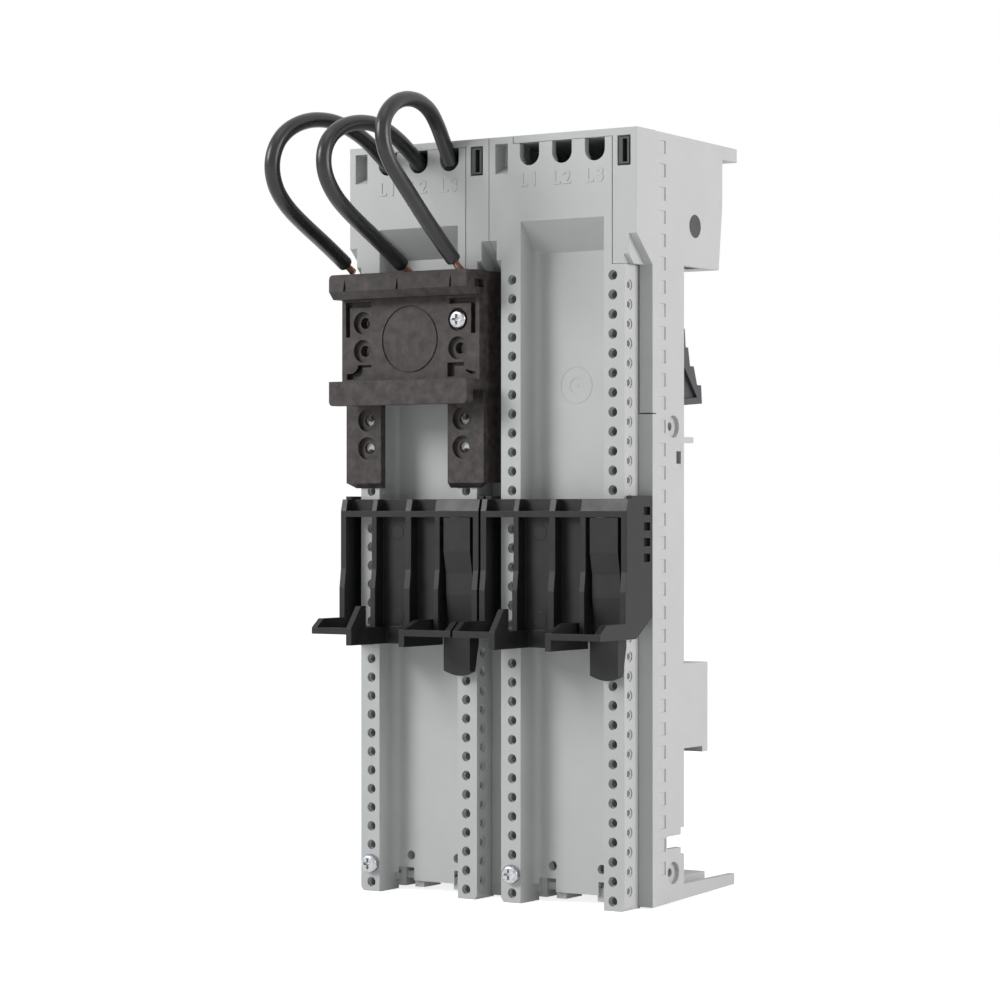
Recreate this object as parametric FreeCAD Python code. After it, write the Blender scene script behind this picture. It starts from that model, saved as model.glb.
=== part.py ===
import FreeCAD, Part
import math
import os

# Double-width busbar adapter: two moulded modules side by side, the left one with contacts and leads.
# While a piece is modelled, X runs across from the plane between the modules, Y runs back from the
# front face and Z up from the bottom edge. A module's own pieces have X from the module's middle.
# export() moves every piece to the origin: the middle of the plane that seats on the busbars.

Vector = FreeCAD.Vector

# Module
MODULE_PITCH = 45.0
MODULE_GAP = 0.2
HEIGHT = 200.0
BODY_DEPTH = 24.3
WALL = 1.6
PIECE_GAP = 0.1
SEAM = 0.25
RUNNING_GAP = 0.06

# Busbars that the adapter sits on
BAR_PITCH = 60.0
BAR_DROP = 40.0
BAR_THICKNESS = 10.0
BAR_PLAY = 0.3

# Front plate: hole strips, channel floor and header
LEDGE_WIDTH = 3.7
STRIP_WIDTH = 6.05
STRIP_SIDE_DEPTH = 5.5
STRIP_INSET = 0.6
STRIP_CORNER = 1.5
FLOOR_DEPTH = 7.5
FLOOR_THICKNESS = 1.6
CHANNEL_FILLET = 2.0
HOLE_PITCH = 5.0
HOLE_MARGIN = 2.5
HOLE_INSET = 3.4
HOLE_RADIUS = 1.3
HOLE_DEPTH = 5.0
SIDE_HOLE_RADIUS = 1.3
SIDE_HOLE_LINE = 2.7
SIDE_HOLE_DEPTH = 1.2
SIDE_HOLE_SIDES = 8
FLOOR_HOLE_LINE = 7.5
FLOOR_HOLE_HEIGHT = 9.4
FLOOR_HOLE_RADIUS = 1.25
FLOOR_EDGE = 4.5
FLOOR_NOTCH_WIDTH = 5.0
FLOOR_NOTCH_RISE = 1.6
FLOOR_NOTCH_LINE = 9.0
GATE_DROP = 30.6
GATE_RADIUS = 2.1
GATE_RING_RADIUS = 4.75
GATE_RING_WIDTH = 0.3
GATE_TIP_RADIUS = 0.45
GATE_DEPTH = 0.05
HEADER_HEIGHT = 34.6
HEADER_SKIN = 2.0
HEADER_FLOOR = 20.5
CHANNEL_END_TOP = 22.4
CHANNEL_END_RUN = 7.9
LINTEL = 1.9
CASING_WIDTH = 7.35
NOTCH_WIDTH = 6.0
NOTCH_PITCH = 9.95
NOTCH_DROP = 7.9
POCKET_WIDTH = 3.9
POCKET_INSET = 3.8
POCKET_TOP = 1.8
POCKET_HEIGHT = 7.9
POCKET_DEPTH = 4.5

# Base: ledges, ramps, upper block, hook, legs
LEDGE_DEPTH = 8.0
RAMP_RISE = 7.6
RAMP_WIDTH = 2.3
CORNER_RAMP = 2.4
LIP_REACH = 53.0
LIP_DROP = 4.2
TOP_FALL = 0.6
BLOCK_DEPTH = 45.0
BLOCK_KNEE_HEIGHT = 17.8
BLOCK_TAPER = 2.0
BLOCK_CLEARANCE = 6.2
HOOK_HEIGHT = 22.1
HOOK_LIP = 2.9
HOOK_LIP_DROP = 1.5
LEG_REACH = 51.6
LEG_TOP = 5.0
LEG_HEIGHT = 2.9
LEG_FOOT = 0.5
TONGUE_WIDTH = 26.6
TONGUE_THICKNESS = 2.0
TAB_REACH = 5.0
TAB_THICKNESS = 1.5
TAB_RISE = 20.0
NOTCH_HEIGHT = 6.9
NOTCH_DEPTH = 1.7
SLOT_HEIGHT = 3.2
UPPER_SLOT_DEPTH = 4.0
LOWER_SLOT_DEPTH = 8.9
UPPER_NOTCH_RISE = 16.1
LOWER_NOTCH_RISE = 16.4
RIB_THICKNESS = 1.4
RIB_HEIGHTS = (28.0, 112.0)
LEAD_SLOT = 5.0
COUPLING_RADIUS = 2.9
COUPLING_DEPTH = 2.6
COUPLING_WALL = 1.3
COUPLING_FIT = 0.05
COUPLING_LINE = 18.7
COUPLING_HEIGHT = 8.4
COUPLING_DROP = 4.9
PILOT_RADIUS = 0.8
MARK_FRONT = 10.8
MARK_BACK = 14.7
MARK_DEPTH = 0.3
MARK_HEIGHT = 3.4
MARK_PITCH = 6.0
MARK_TOP = 2.3
SLIT_WIDTH = 0.3
SLIT_DROP = 1.9
SLIT_REACH = 1.8

# Latch lever, release button and leaf spring
PIVOT_DEPTH = 30.2
PIVOT_RISE = 10.7
TRUNNION_RADIUS = 3.0
HUB_RADIUS = 5.2
LEVER_GAP = 0.2
CASING_WALL = 1.2
ARM_THICKNESS = 4.0
ARM_TOP_DROP = 3.0
LOWER_ARM_FRONT = 2.7
LOWER_ARM_INSET = 0.2
ARM_BEND_RISE = 3.0
LEVER_FOOT_FRONT = 1.6
TOOTH_PITCH = 4.85
TOOTH_DROP = 10.0
TREAD_REACH = (3.6, 5.4, 8.4, 12.4)
RISER_REACH = (4.1, 6.4, 10.2, 12.8)
LEVER_POCKET_DEPTH = 1.0
LEVER_RIM = 1.6
BUTTON_WIDTH = 3.1
BUTTON_HEIGHT = 6.9
BUTTON_DROP = 2.35
BUTTON_BODY = 12.0
BUTTON_FIT = 0.08
BUTTON_FRAME = 0.4
BUTTON_FRAME_DEPTH = 1.2
BUTTON_SLOT_WIDTH = 1.3
BUTTON_SLOT_HEIGHT = 5.9
BUTTON_SLOT_DEPTH = 6.0
BUTTON_SLOT_SHIFT = 0.25
ROD_WIDTH = 2.6
ROD_HEIGHT = 2.0
GUIDE_DEPTH = 18.0
SPRING_THICKNESS = 0.4
SPRING_WIDTH = 2.6
SPRING_BEND = 1.4
SPRING_FOOT = 9.0
SPRING_SLOPE = 5.0

# Contacts and inner leads of the left module
CLIP_WIDTH = 7.0
CLIP_THICKNESS = 1.0
CLIP_BEND = 1.6
CLIP_BLADE = 13.0
CLIP_ROOF = 2.6
CLIP_HOOK = 6.0
CLIP_FLARE = 1.6
CLIP_PLAY = 0.3
WIRE_DIAMETER = 4.05
WIRE_RISE = 2.3
WIRE_EXIT = 1.0
RELIEF_FRONT = 0.3
LEAD_DEPTH = 15.2
LEAD_DROP = 12.0
LEAD_FIRST_RUN = 9.0
LEAD_PLAY = 0.3
CORE_RADIUS = 0.95
CORE_LENGTH = 4.8

# Device rail on the left module
RAIL_SIDE_GAP = 0.25
RAIL_HEIGHT = 35.0
RAIL_HOLE_RISE = 4.8
RAIL_DEPTH = 10.0
RAIL_FLANGE = 6.5
RAIL_FLANGE_THICKNESS = 3.0
RAIL_BEVEL = 2.0
RAIL_WEB = 2.7
RAIL_PLATE = 2.0
RAIL_LEG = 2.0
RAIL_LEG_WIDTH = 11.4
RAIL_LEG_LENGTH = 39.4
RAIL_LEG_CORNER_WIDTH = 2.2
RAIL_LEG_CORNER_RISE = 1.4
RAIL_LEG_BEVEL = 1.3
RAIL_LEG_BEVEL_DEPTH = 1.6
RAIL_END_ROUND = 1.2
RAIL_HOLE_PITCH = 7.5
RAIL_HOLE_RADIUS = 1.5
RAIL_SINK_RADIUS = 3.0
RAIL_SCREW_UPPER_HOLES = 2
RAIL_LEG_HOLE_DROP = 26.0
RAIL_SINK_DEPTH = 1.2
RAIL_SKIRT = 1.6
RAIL_CHEEK = 3.2
RAIL_WINDOW_FRONT = 3.7
RAIL_WINDOW_LENGTH = 4.4
RAIL_WINDOW_DROP = 2.35
RAIL_WINDOW_HEIGHT = 2.15
RAIL_TICK_PITCH = 17.0
RAIL_TICK_WIDTH = 1.0
RAIL_TICK_HEIGHT = 3.2
RAIL_TICK_DEPTH = 0.5
RAIL_SLOT = 1.4
RAIL_SLOT_DROP = 0.6
RAIL_SLOT_DEPTH = 1.6
RAIL_SLOT_INSET = 1.25
RAIL_SLOT_RUN = 8.3
RAIL_SLOT_LENGTH = 9.3
RAIL_RING_RADIUS = 8.8
RAIL_RING_WIDTH = 0.4
RAIL_RING_DEPTH = 0.3
# Outlines of the lower slots: distance from the rail's end, drop from the upper screw holes
RAIL_BENT_SLOT = (
    (1.55, 15.1), (4.55, 15.1), (6.25, 14.1), (6.75, 12.9), (6.75, 11.9), (9.65, 11.9),
    (9.65, 11.3), (5.2, 11.3), (5.2, 12.0), (4.5, 12.9), (3.3, 13.5), (1.55, 13.6),
)
RAIL_ANGLE_SLOT = ((10.1, 15.0), (7.7, 15.0), (7.7, 12.3), (4.9, 12.3), (4.9, 11.3), (10.1, 11.3))
RAIL_SHORT_SLOT = ((4.25, 13.6), (2.75, 14.4), (1.25, 14.5), (1.25, 13.8), (2.95, 13.6), (4.25, 13.1))

# Contactor carriers: heights as drops from the carrier's top
CARRIER_GAP = 0.5
CARRIER_CLEARANCE = 1.0
CARRIER_ABOVE_PEG = 22.8
CARRIER_SKIRT_RISE = 0.8
CARRIER_LEFT_WALL = 1.7
CARRIER_RIGHT_WALL = 1.7
CARRIER_BAND = 4.7
CARRIER_BAR = 1.6
CARRIER_PANEL = 1.6
CARRIER_TOP_DEPTH = 4.1
CARRIER_DEPTH = 4.9
CARRIER_LOW_DEPTH = 5.6
CARRIER_FACET_TOP_DROP = 18.6
CARRIER_FACET_BOTTOM_DROP = 23.7
CARRIER_RIBS = ((10.2, 1.5), (21.1, 1.8))
CARRIER_LENGTH = 38.5
CARRIER_LOW_WALL = 2.0
SHELF_REACH = 18.0
SHELF_DROP = 33.95
SHELF_THICKNESS = 1.7
SHELF_BAR = 2.2
SHELF_LEFT = 12.9
SHELF_RIGHT = 16.2
GUSSET_THICKNESS = 1.7
GUSSET_LOW = 2.3
GUSSET_LOW_RUN = 3.0
GUSSET_LONG_RUN = 7.0
HORN_HEIGHT = 5.7
HORN_RUN = 4.4
HORN_DEPTH = 2.2
SKIRT_BACK_DROP = 30.2
SKIRT_FRONT_DROP = 35.5
SKIRT_STEP_DEPTH = 2.5
SKIRT_RECESS_HEIGHT = 2.1
SKIRT_RECESS_PITCH = 4.0
SKIRT_RECESS_DROP = 2.0
SKIRT_RECESS_FRONT = 3.5
SKIRT_RECESS_LENGTH = 3.3
SKIRT_RECESS_DEPTH = 1.0
SKIRT_RECESS_HOLES = 4
CARRIER_TONGUE_INSET = 2.8
CARRIER_TONGUE_WIDTH = 8.3
CARRIER_TONGUE_SLOT = 1.15
CARRIER_TONGUE_RIB = 1.5
CARRIER_TONGUE_GAP = 0.06
CARRIER_TONGUE_EDGE = 0.1
CARRIER_TONGUE_LENGTH = 46.4
CARRIER_TONGUE_THICKNESS = 1.6
CARRIER_TONGUE_FRONT = 4.7
CARRIER_TONGUE_BACK = 0.4
CARRIER_TONGUE_STEP = 1.1
CARRIER_TONGUE_DROPS = (13.7, 19.4, 25.2, 32.3)
CARRIER_TAB_DROP = 35.8
CARRIER_TAB_SLOPE = 2.0
CARRIER_TAB_CORNER = 1.5
CARRIER_TAB_ROUND = 7.3
PEG_RADIUS = 0.85
PEG_LENGTH = 1.2

# Screws
SCREW_HEAD_RADIUS = 2.5
SCREW_HEAD_HEIGHT = 1.9
SCREW_SHANK_RADIUS = 1.25
SCREW_HOLE_RADIUS = 1.3
SCREW_SOCKET_WIDTH = 0.7
SCREW_SOCKET_LENGTH = 2.8
SCREW_SOCKET_DEPTH = 0.9
PLATE_SCREW_LOWER_HOLES = 1
PLATE_SCREW_LENGTH = 14.0
PLATE_BOSS_RADIUS = 3.0
PLATE_BOSS_LENGTH = 7.0
RAIL_SCREW_GRIP = 4.0

# Flexible leads, from the notch to the bare tip: hand-chosen points of each route, measured from the
# middle of the left module, the front face and the top edge
WIRE_EXIT_ANGLES = (32.0, 32.0, 40.0)
WIRE_FIRST_RUNS = (8.0, 7.0, 6.0)
WIRE_ROUTES = (
    (
        (-10.7, -13.4, 2.6),
        (-11.5, -21.6, 4.9),
        (-12.1, -30.2, 4.7),
        (-12.6, -38.4, 2.2),
        (-13.1, -44.4, -2.4),
        (-13.6, -46.6, -8.6),
        (-14.2, -44.4, -14.4),
        (-14.8, -39.0, -18.8),
        (-15.5, -31.6, -22.4),
        (-16.8, -16.6, -28.4),
        (-17.3, -9.4, -31.8),
    ),
    (
        (0.0, -12.2, 1.7),
        (0.1, -19.6, 3.7),
        (0.0, -27.6, 3.4),
        (-0.1, -35.0, 0.8),
        (0.0, -40.0, -4.4),
        (0.1, -40.6, -11.0),
        (0.1, -36.8, -16.8),
        (0.0, -30.2, -21.4),
        (0.0, -18.6, -27.1),
        (0.1, -7.9, -32.65),
    ),
    (
        (10.5, -6.9, 3.2),
        (11.1, -12.0, 7.2),
        (11.8, -18.4, 9.2),
        (12.4, -25.2, 8.9),
        (13.0, -31.4, 6.2),
        (13.5, -35.6, 1.4),
        (14.0, -36.2, -4.6),
        (14.5, -33.2, -9.8),
        (15.1, -27.8, -14.8),
        (15.9, -18.2, -23.8),
        (16.8, -8.3, -32.1),
    ),
)

# Values worked out from the sizes above
MODULE_WIDTH = MODULE_PITCH - MODULE_GAP
HALF = MODULE_WIDTH / 2
LEFT = -MODULE_PITCH / 2
RIGHT = MODULE_PITCH / 2
STRIP_OUTER = HALF - LEDGE_WIDTH
STRIP_INNER = STRIP_OUTER - STRIP_WIDTH
HOLE_LINE = STRIP_OUTER - HOLE_INSET
POCKET_LINE = HALF - POCKET_INSET
FLOOR_BACK = FLOOR_DEPTH + FLOOR_THICKNESS
HEADER_BOTTOM = HEIGHT - HEADER_HEIGHT
HEADER_BACK = FLOOR_BACK
PARTING = HALF - CASING_WIDTH
CASING_LEFT = PARTING + SEAM
CASING_INNER = CASING_LEFT + CASING_WALL
WALL_INNER = HALF - WALL
RAMP_TOP = HEADER_BOTTOM + RAMP_RISE
RAMP_INNER = HALF - RAMP_WIDTH
BACK_INNER = BODY_DEPTH - WALL
BAR_TOPS = tuple(HEIGHT - BAR_DROP - BAR_PITCH * row for row in range(3))
BLOCK_BOTTOM = BAR_TOPS[0] + BLOCK_CLEARANCE
HOOK_CEILING = BAR_TOPS[2] + BAR_PLAY
HOOK_TOP = HOOK_CEILING + HOOK_HEIGHT
HOOK_LIP_FRONT = BODY_DEPTH + BAR_THICKNESS - BAR_PLAY
HOOK_BACK = HOOK_LIP_FRONT + HOOK_LIP
PIVOT_HEIGHT = BLOCK_BOTTOM + PIVOT_RISE
BLOCK_INNER = BLOCK_DEPTH - WALL
LEVER_LEFT = CASING_INNER + LEVER_GAP
LEVER_RIGHT = WALL_INNER - LEVER_GAP
BUTTON_MIDDLE = (CASING_INNER + WALL_INNER) / 2
BUTTON_TOP = HEIGHT - BUTTON_DROP
BUTTON_HEIGHT_MIDDLE = BUTTON_TOP - BUTTON_HEIGHT / 2
LATCH_WINDOW_BOTTOM = BAR_TOPS[0] - TOOTH_DROP - 4 * TOOTH_PITCH - WALL
COUPLING_HEIGHTS = (COUPLING_HEIGHT, LATCH_WINDOW_BOTTOM - COUPLING_DROP)
WIRE_RADIUS = WIRE_DIAMETER / 2
NOTCH_LINES = (-NOTCH_PITCH, 0.0, NOTCH_PITCH)
NOTCH_BOTTOM = HEIGHT - NOTCH_DROP
WIRE_HEIGHT = NOTCH_BOTTOM + WIRE_RISE
LEAD_ANGLE = math.radians(max(WIRE_EXIT_ANGLES))
TOP_HOLE = HOLE_MARGIN + HOLE_PITCH * int((HEADER_BOTTOM - HOLE_RADIUS - HOLE_MARGIN) / HOLE_PITCH)
PLATE_SCREW_HEIGHT = HOLE_MARGIN + HOLE_PITCH * PLATE_SCREW_LOWER_HOLES
RAIL_SCREW_HEIGHT = TOP_HOLE - HOLE_PITCH * RAIL_SCREW_UPPER_HOLES
RAIL_WIDTH = MODULE_WIDTH - 2 * RAIL_SIDE_GAP
RAIL_MIDDLE = RAIL_SCREW_HEIGHT - RAIL_HOLE_RISE
RAIL_TOP = RAIL_MIDDLE + RAIL_HEIGHT / 2
RAIL_LOW = RAIL_MIDDLE - RAIL_HEIGHT / 2
RAIL_LEG_BOTTOM = RAIL_MIDDLE - RAIL_LEG_LENGTH
CARRIER_WIDTH = MODULE_WIDTH - CARRIER_GAP
CARRIER_SHIFT = HALF - CARRIER_WIDTH / 2
CARRIER_ROOM = RAIL_LEG_BOTTOM - CARRIER_CLEARANCE - CARRIER_SKIRT_RISE - CARRIER_ABOVE_PEG
PEG_HEIGHT = HOLE_MARGIN + HOLE_PITCH * int((CARRIER_ROOM - HOLE_MARGIN) / HOLE_PITCH)
CARRIER_TOP = PEG_HEIGHT + CARRIER_ABOVE_PEG
CARRIER_FACET_TOP = CARRIER_TOP - CARRIER_FACET_TOP_DROP
CARRIER_FACET_BOTTOM = CARRIER_TOP - CARRIER_FACET_BOTTOM_DROP
CARRIER_BOTTOM = CARRIER_TOP - CARRIER_LENGTH
SHELF_TOP = CARRIER_TOP - SHELF_DROP
SHELF_BOTTOM = SHELF_TOP - SHELF_THICKNESS
TONGUE_RIGHT = HALF - CARRIER_TONGUE_INSET
TONGUE_LEFT = TONGUE_RIGHT - CARRIER_TONGUE_WIDTH


def box(x0, x1, y0, y1, z0, z1):
    return Part.makeBox(x1 - x0, y1 - y0, z1 - z0, Vector(x0, y0, z0))


def prism_x(points, x0, x1):
    """A closed outline of (y, z) points, drawn out along X."""
    corners = [Vector(x0, y, z) for y, z in points]
    face = Part.Face(Part.makePolygon(corners + corners[:1]))
    return face.extrude(Vector(x1 - x0, 0, 0))


def prism_y(points, y0, y1):
    """A closed outline of (x, z) points, drawn out along Y."""
    corners = [Vector(x, y0, z) for x, z in points]
    face = Part.Face(Part.makePolygon(corners + corners[:1]))
    return face.extrude(Vector(0, y1 - y0, 0))


def prism_z(points, z0, z1):
    """A closed outline of (x, y) points, drawn out along Z."""
    corners = [Vector(x, y, z0) for x, y in points]
    face = Part.Face(Part.makePolygon(corners + corners[:1]))
    return face.extrude(Vector(0, 0, z1 - z0))


def rod_x(x0, x1, y, z, radius):
    return Part.makeCylinder(radius, x1 - x0, Vector(x0, y, z), Vector(1, 0, 0))


def rod_y(x, y0, y1, z, radius):
    return Part.makeCylinder(radius, y1 - y0, Vector(x, y0, z), Vector(0, 1, 0))


def fuse(shapes):
    return shapes[0].multiFuse(shapes[1:]).removeSplitter()


def mirrored(shape):
    return shape.mirror(Vector(0, 0, 0), Vector(1, 0, 0))


def moved(shape, x):
    copy = shape.copy()
    copy.translate(Vector(x, 0, 0))
    return copy


def export(name, shape):
    placed = shape.copy()
    placed.translate(Vector(0, -BODY_DEPTH, -HEIGHT / 2))
    placed.exportStep(os.path.join("parts", name + ".step"))


def rounded_path(points, radii):
    """Straight runs between the points, joined by a tangent arc of the given radius at each corner."""
    edges = []
    start = points[0]
    for before, corner, after, radius in zip(points, points[1:], points[2:], radii):
        inward = (corner - before).normalize()
        outward = (after - corner).normalize()
        half_turn = inward.getAngle(outward) / 2
        reach = radius * math.tan(half_turn)
        enter = corner - inward * reach
        leave = corner + outward * reach
        middle_way = (outward - inward).normalize()
        middle = corner + middle_way * (radius / math.cos(half_turn) - radius)
        edges.append(Part.LineSegment(start, enter).toShape())
        edges.append(Part.Arc(enter, middle, leave).toShape())
        start = leave
    edges.append(Part.LineSegment(start, points[-1]).toShape())
    return edges


def largest_radii(points, share):
    """The arc at each corner, as large as its two runs allow."""
    radii = []
    for before, corner, after in zip(points, points[1:], points[2:]):
        half_turn = (corner - before).getAngle(after - corner) / 2
        shorter = min((corner - before).Length, (after - corner).Length)
        radii.append(share * shorter / math.tan(half_turn))
    return radii


def tube(points, radii, radius):
    path = Part.Wire(rounded_path(points, radii))
    circle = Part.makeCircle(radius, points[0], points[1] - points[0])
    return path.makePipeShell([Part.Wire(circle)], True, False)


def bent_strip(points, bend, thickness, x0, x1):
    """A flat strip bent in the YZ plane along (y, z) points, with the same bend at each corner."""
    centre = [Vector(x0, y, z) for y, z in points]
    sides = []
    for side in (1, -1):
        shifted = offset_points(centre, side * thickness / 2)
        radii = []
        for before, corner, after in zip(centre, centre[1:], centre[2:]):
            turn = (corner - before).cross(after - corner).x
            radii.append(bend + math.copysign(thickness / 2, -turn * side))
        sides.append(Part.Wire(rounded_path(shifted, radii)))
    first = [wire.Vertexes[0].Point for wire in sides]
    last = [wire.Vertexes[-1].Point for wire in sides]
    ends = [Part.LineSegment(*first).toShape(), Part.LineSegment(*last).toShape()]
    outline = Part.Wire(Part.__sortEdges__(sides[0].Edges + sides[1].Edges + ends))
    return Part.Face(outline).extrude(Vector(x1 - x0, 0, 0))


def offset_points(points, distance):
    """The corners of a path in the YZ plane, moved sideways by a distance."""
    normals = []
    for start, end in zip(points, points[1:]):
        run = (end - start).normalize()
        normals.append(Vector(0, -run.z, run.y))
    shifted = [points[0] + normals[0] * distance]
    for corner, before, after in zip(points[1:], normals, normals[1:]):
        middle = (before + after).normalize()
        shifted.append(corner + middle * (distance / middle.dot(before)))
    shifted.append(points[-1] + normals[-1] * distance)
    return shifted


def strip_heights(margin):
    """Heights of the holes along a strip that ends at the header."""
    count = int((HEADER_BOTTOM - HOLE_RADIUS - margin) / HOLE_PITCH) + 1
    return [margin + HOLE_PITCH * row for row in range(count)]


def side_hole(z):
    """A small many-sided hole in a strip's outer side."""
    corners = []
    for corner in range(SIDE_HOLE_SIDES):
        angle = 2 * math.pi * (corner + 0.5) / SIDE_HOLE_SIDES
        reach = SIDE_HOLE_RADIUS / math.cos(math.pi / SIDE_HOLE_SIDES)
        corners.append((SIDE_HOLE_LINE + reach * math.cos(angle), z + reach * math.sin(angle)))
    return prism_x(corners, STRIP_OUTER - SIDE_HOLE_DEPTH, STRIP_OUTER + 1)


def plate_section():
    """The U-shaped section of the strips and the channel floor."""
    inset = STRIP_OUTER - STRIP_INSET
    half = [
        (0, FLOOR_DEPTH),
        (STRIP_INNER, FLOOR_DEPTH),
        (STRIP_INNER, 0),
        (STRIP_OUTER, 0),
        (STRIP_OUTER, STRIP_SIDE_DEPTH),
        (inset, STRIP_SIDE_DEPTH),
        (inset, FLOOR_BACK),
        (0, FLOOR_BACK),
    ]
    corners = [Vector(x, y, 0) for x, y in half]
    face = Part.Face(Part.makePolygon(corners + corners[:1]))
    right = face.extrude(Vector(0, 0, HEADER_BOTTOM))
    section = fuse([right, mirrored(right)])
    return section.makeFillet(min(CHANNEL_FILLET, FLOOR_DEPTH / 2), channel_feet(section))


def channel_feet(shape):
    """The upright edges where the channel's floor meets its sides."""
    feet = []
    for edge in shape.Edges:
        middle = edge.CenterOfMass
        at_foot = abs(abs(middle.x) - STRIP_INNER) < 0.01 and abs(middle.y - FLOOR_DEPTH) < 0.01
        if at_foot and edge.tangentAt(edge.FirstParameter).z ** 2 > 0.99:
            feet.append(edge)
    return feet


def header_shell():
    """The header of a front plate: a box open at the back, with the channel's sloped end below."""
    solid = box(-HALF, PARTING, 0, HEADER_BACK, HEADER_BOTTOM, HEIGHT)
    lintel_room = box(-PARTING, PARTING + 1, -1, HEADER_BACK + 1, HEIGHT - LINTEL - PIECE_GAP, HEIGHT + 1)
    hollow = box(
        -POCKET_LINE + POCKET_WIDTH / 2 + CASING_WALL, PARTING - HEADER_SKIN, HEADER_SKIN, HEADER_BACK + 1,
        HEIGHT - HEADER_FLOOR, HEIGHT - LINTEL,
    )
    slope_bottom = HEIGHT - CHANNEL_END_TOP - CHANNEL_END_RUN
    channel_end = prism_x(
        [
            (0, HEADER_BOTTOM - 1), (FLOOR_DEPTH, HEADER_BOTTOM - 1), (FLOOR_DEPTH, slope_bottom),
            (0, HEIGHT - CHANNEL_END_TOP), (-1, HEIGHT - CHANNEL_END_TOP), (-1, HEADER_BOTTOM - 1),
        ],
        -STRIP_INNER, STRIP_INNER,
    )
    feet = channel_feet(channel_end)
    channel_end = channel_end.makeFillet(min(CHANNEL_FILLET, FLOOR_DEPTH / 2), feet)
    cuts = [lintel_room, hollow, channel_end, header_pocket()]
    cuts += [mirrored(ramp) for ramp in ramp_cuts()]
    cuts += [wire_notch(x) for x in NOTCH_LINES]
    return solid.cut(cuts)


def ramp_cuts():
    """The sloped lower corner of the header on the right-hand side, large at the edge, small beside it."""
    large = [(-1, RAMP_TOP), (0, RAMP_TOP), (LEDGE_DEPTH, HEADER_BOTTOM), (LEDGE_DEPTH, -1), (-1, -1)]
    small = [
        (-1, HEADER_BOTTOM + CORNER_RAMP), (0, HEADER_BOTTOM + CORNER_RAMP), (CORNER_RAMP, HEADER_BOTTOM),
        (CORNER_RAMP, HEADER_BOTTOM - 1), (-1, HEADER_BOTTOM - 1),
    ]
    return [prism_x(large, RAMP_INNER, HALF + 1), prism_x(small, STRIP_OUTER, RAMP_INNER)]


def header_pocket():
    """The blind pocket left of the wire notches, with a slanted floor."""
    top = HEIGHT - POCKET_TOP
    bottom = top - POCKET_HEIGHT
    outline = [
        (-1, bottom), (0, bottom), (POCKET_DEPTH, bottom + POCKET_DEPTH / 2), (POCKET_DEPTH, top), (-1, top),
    ]
    return prism_x(outline, -POCKET_LINE - POCKET_WIDTH / 2, -POCKET_LINE + POCKET_WIDTH / 2)


def wire_notch(x):
    radius = NOTCH_WIDTH / 2
    centre = NOTCH_BOTTOM + radius
    bottom = rod_y(x, -1, HEADER_SKIN + 1, centre, radius)
    top = box(x - radius, x + radius, -1, HEADER_SKIN + 1, centre, HEIGHT)
    way_in = Vector(0, math.cos(LEAD_ANGLE), -math.sin(LEAD_ANGLE))
    relief = Part.makeCylinder(
        WIRE_RADIUS + LEAD_PLAY, LEAD_FIRST_RUN, Vector(x, WIRE_EXIT / 2, WIRE_HEIGHT), way_in,
    )
    behind_face = box(x - radius, x + radius, RELIEF_FRONT, HEADER_BACK, NOTCH_BOTTOM - NOTCH_DROP, HEIGHT)
    return fuse([bottom, top, relief.common(behind_face)])


def gate_mark():
    """The round mark that the moulding gate leaves on the channel floor: a dish with a tip, inside a ring."""
    height = HEADER_BOTTOM - GATE_DROP
    back = FLOOR_DEPTH + GATE_DEPTH
    half = GATE_RING_WIDTH / 2
    ring = rod_y(0, 0, back, height, GATE_RING_RADIUS + half)
    ring = ring.cut(rod_y(0, -1, back + 1, height, GATE_RING_RADIUS - half))
    dish = rod_y(0, 0, back, height, GATE_RADIUS)
    return [ring, dish.cut(rod_y(0, FLOOR_DEPTH, back + 1, height, GATE_TIP_RADIUS))]


def front_plate():
    plate = fuse([plate_section(), header_shell()])
    below_casing = box(PARTING, HALF + 1, -1, HEADER_BACK + 1, HEADER_BOTTOM - PIECE_GAP, HEIGHT + 1)
    floor_edge = box(-STRIP_INNER, STRIP_INNER, -1, FLOOR_BACK + 1, -1, FLOOR_EDGE)
    cuts = [below_casing, floor_edge] + gate_mark()
    corner = [(STRIP_OUTER - STRIP_CORNER, -1), (STRIP_OUTER + 1, -1), (STRIP_OUTER + 1, STRIP_CORNER + 1)]
    corner = prism_y(corner, -1, FLOOR_BACK + 1)
    cuts += [corner, mirrored(corner)]
    for side in (-1, 1):
        notch = side * FLOOR_NOTCH_LINE
        half = FLOOR_NOTCH_WIDTH / 2
        cuts.append(box(notch - half, notch + half, -1, FLOOR_BACK + 1, 0, FLOOR_EDGE + FLOOR_NOTCH_RISE))
        hole = side * FLOOR_HOLE_LINE
        cuts.append(rod_y(hole, -1, FLOOR_BACK + 1, FLOOR_HOLE_HEIGHT, FLOOR_HOLE_RADIUS))
        for z in strip_heights(HOLE_MARGIN):
            cuts.append(rod_y(side * HOLE_LINE, -1, HOLE_DEPTH, z, HOLE_RADIUS))
    for z in strip_heights(HOLE_MARGIN + HOLE_PITCH / 2):
        hole = side_hole(z)
        cuts += [hole, mirrored(hole)]
    cuts.append(rod_y(-HOLE_LINE, 0, FLOOR_BACK + 1, PLATE_SCREW_HEIGHT, SCREW_HOLE_RADIUS))
    return plate.cut(cuts)


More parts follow.
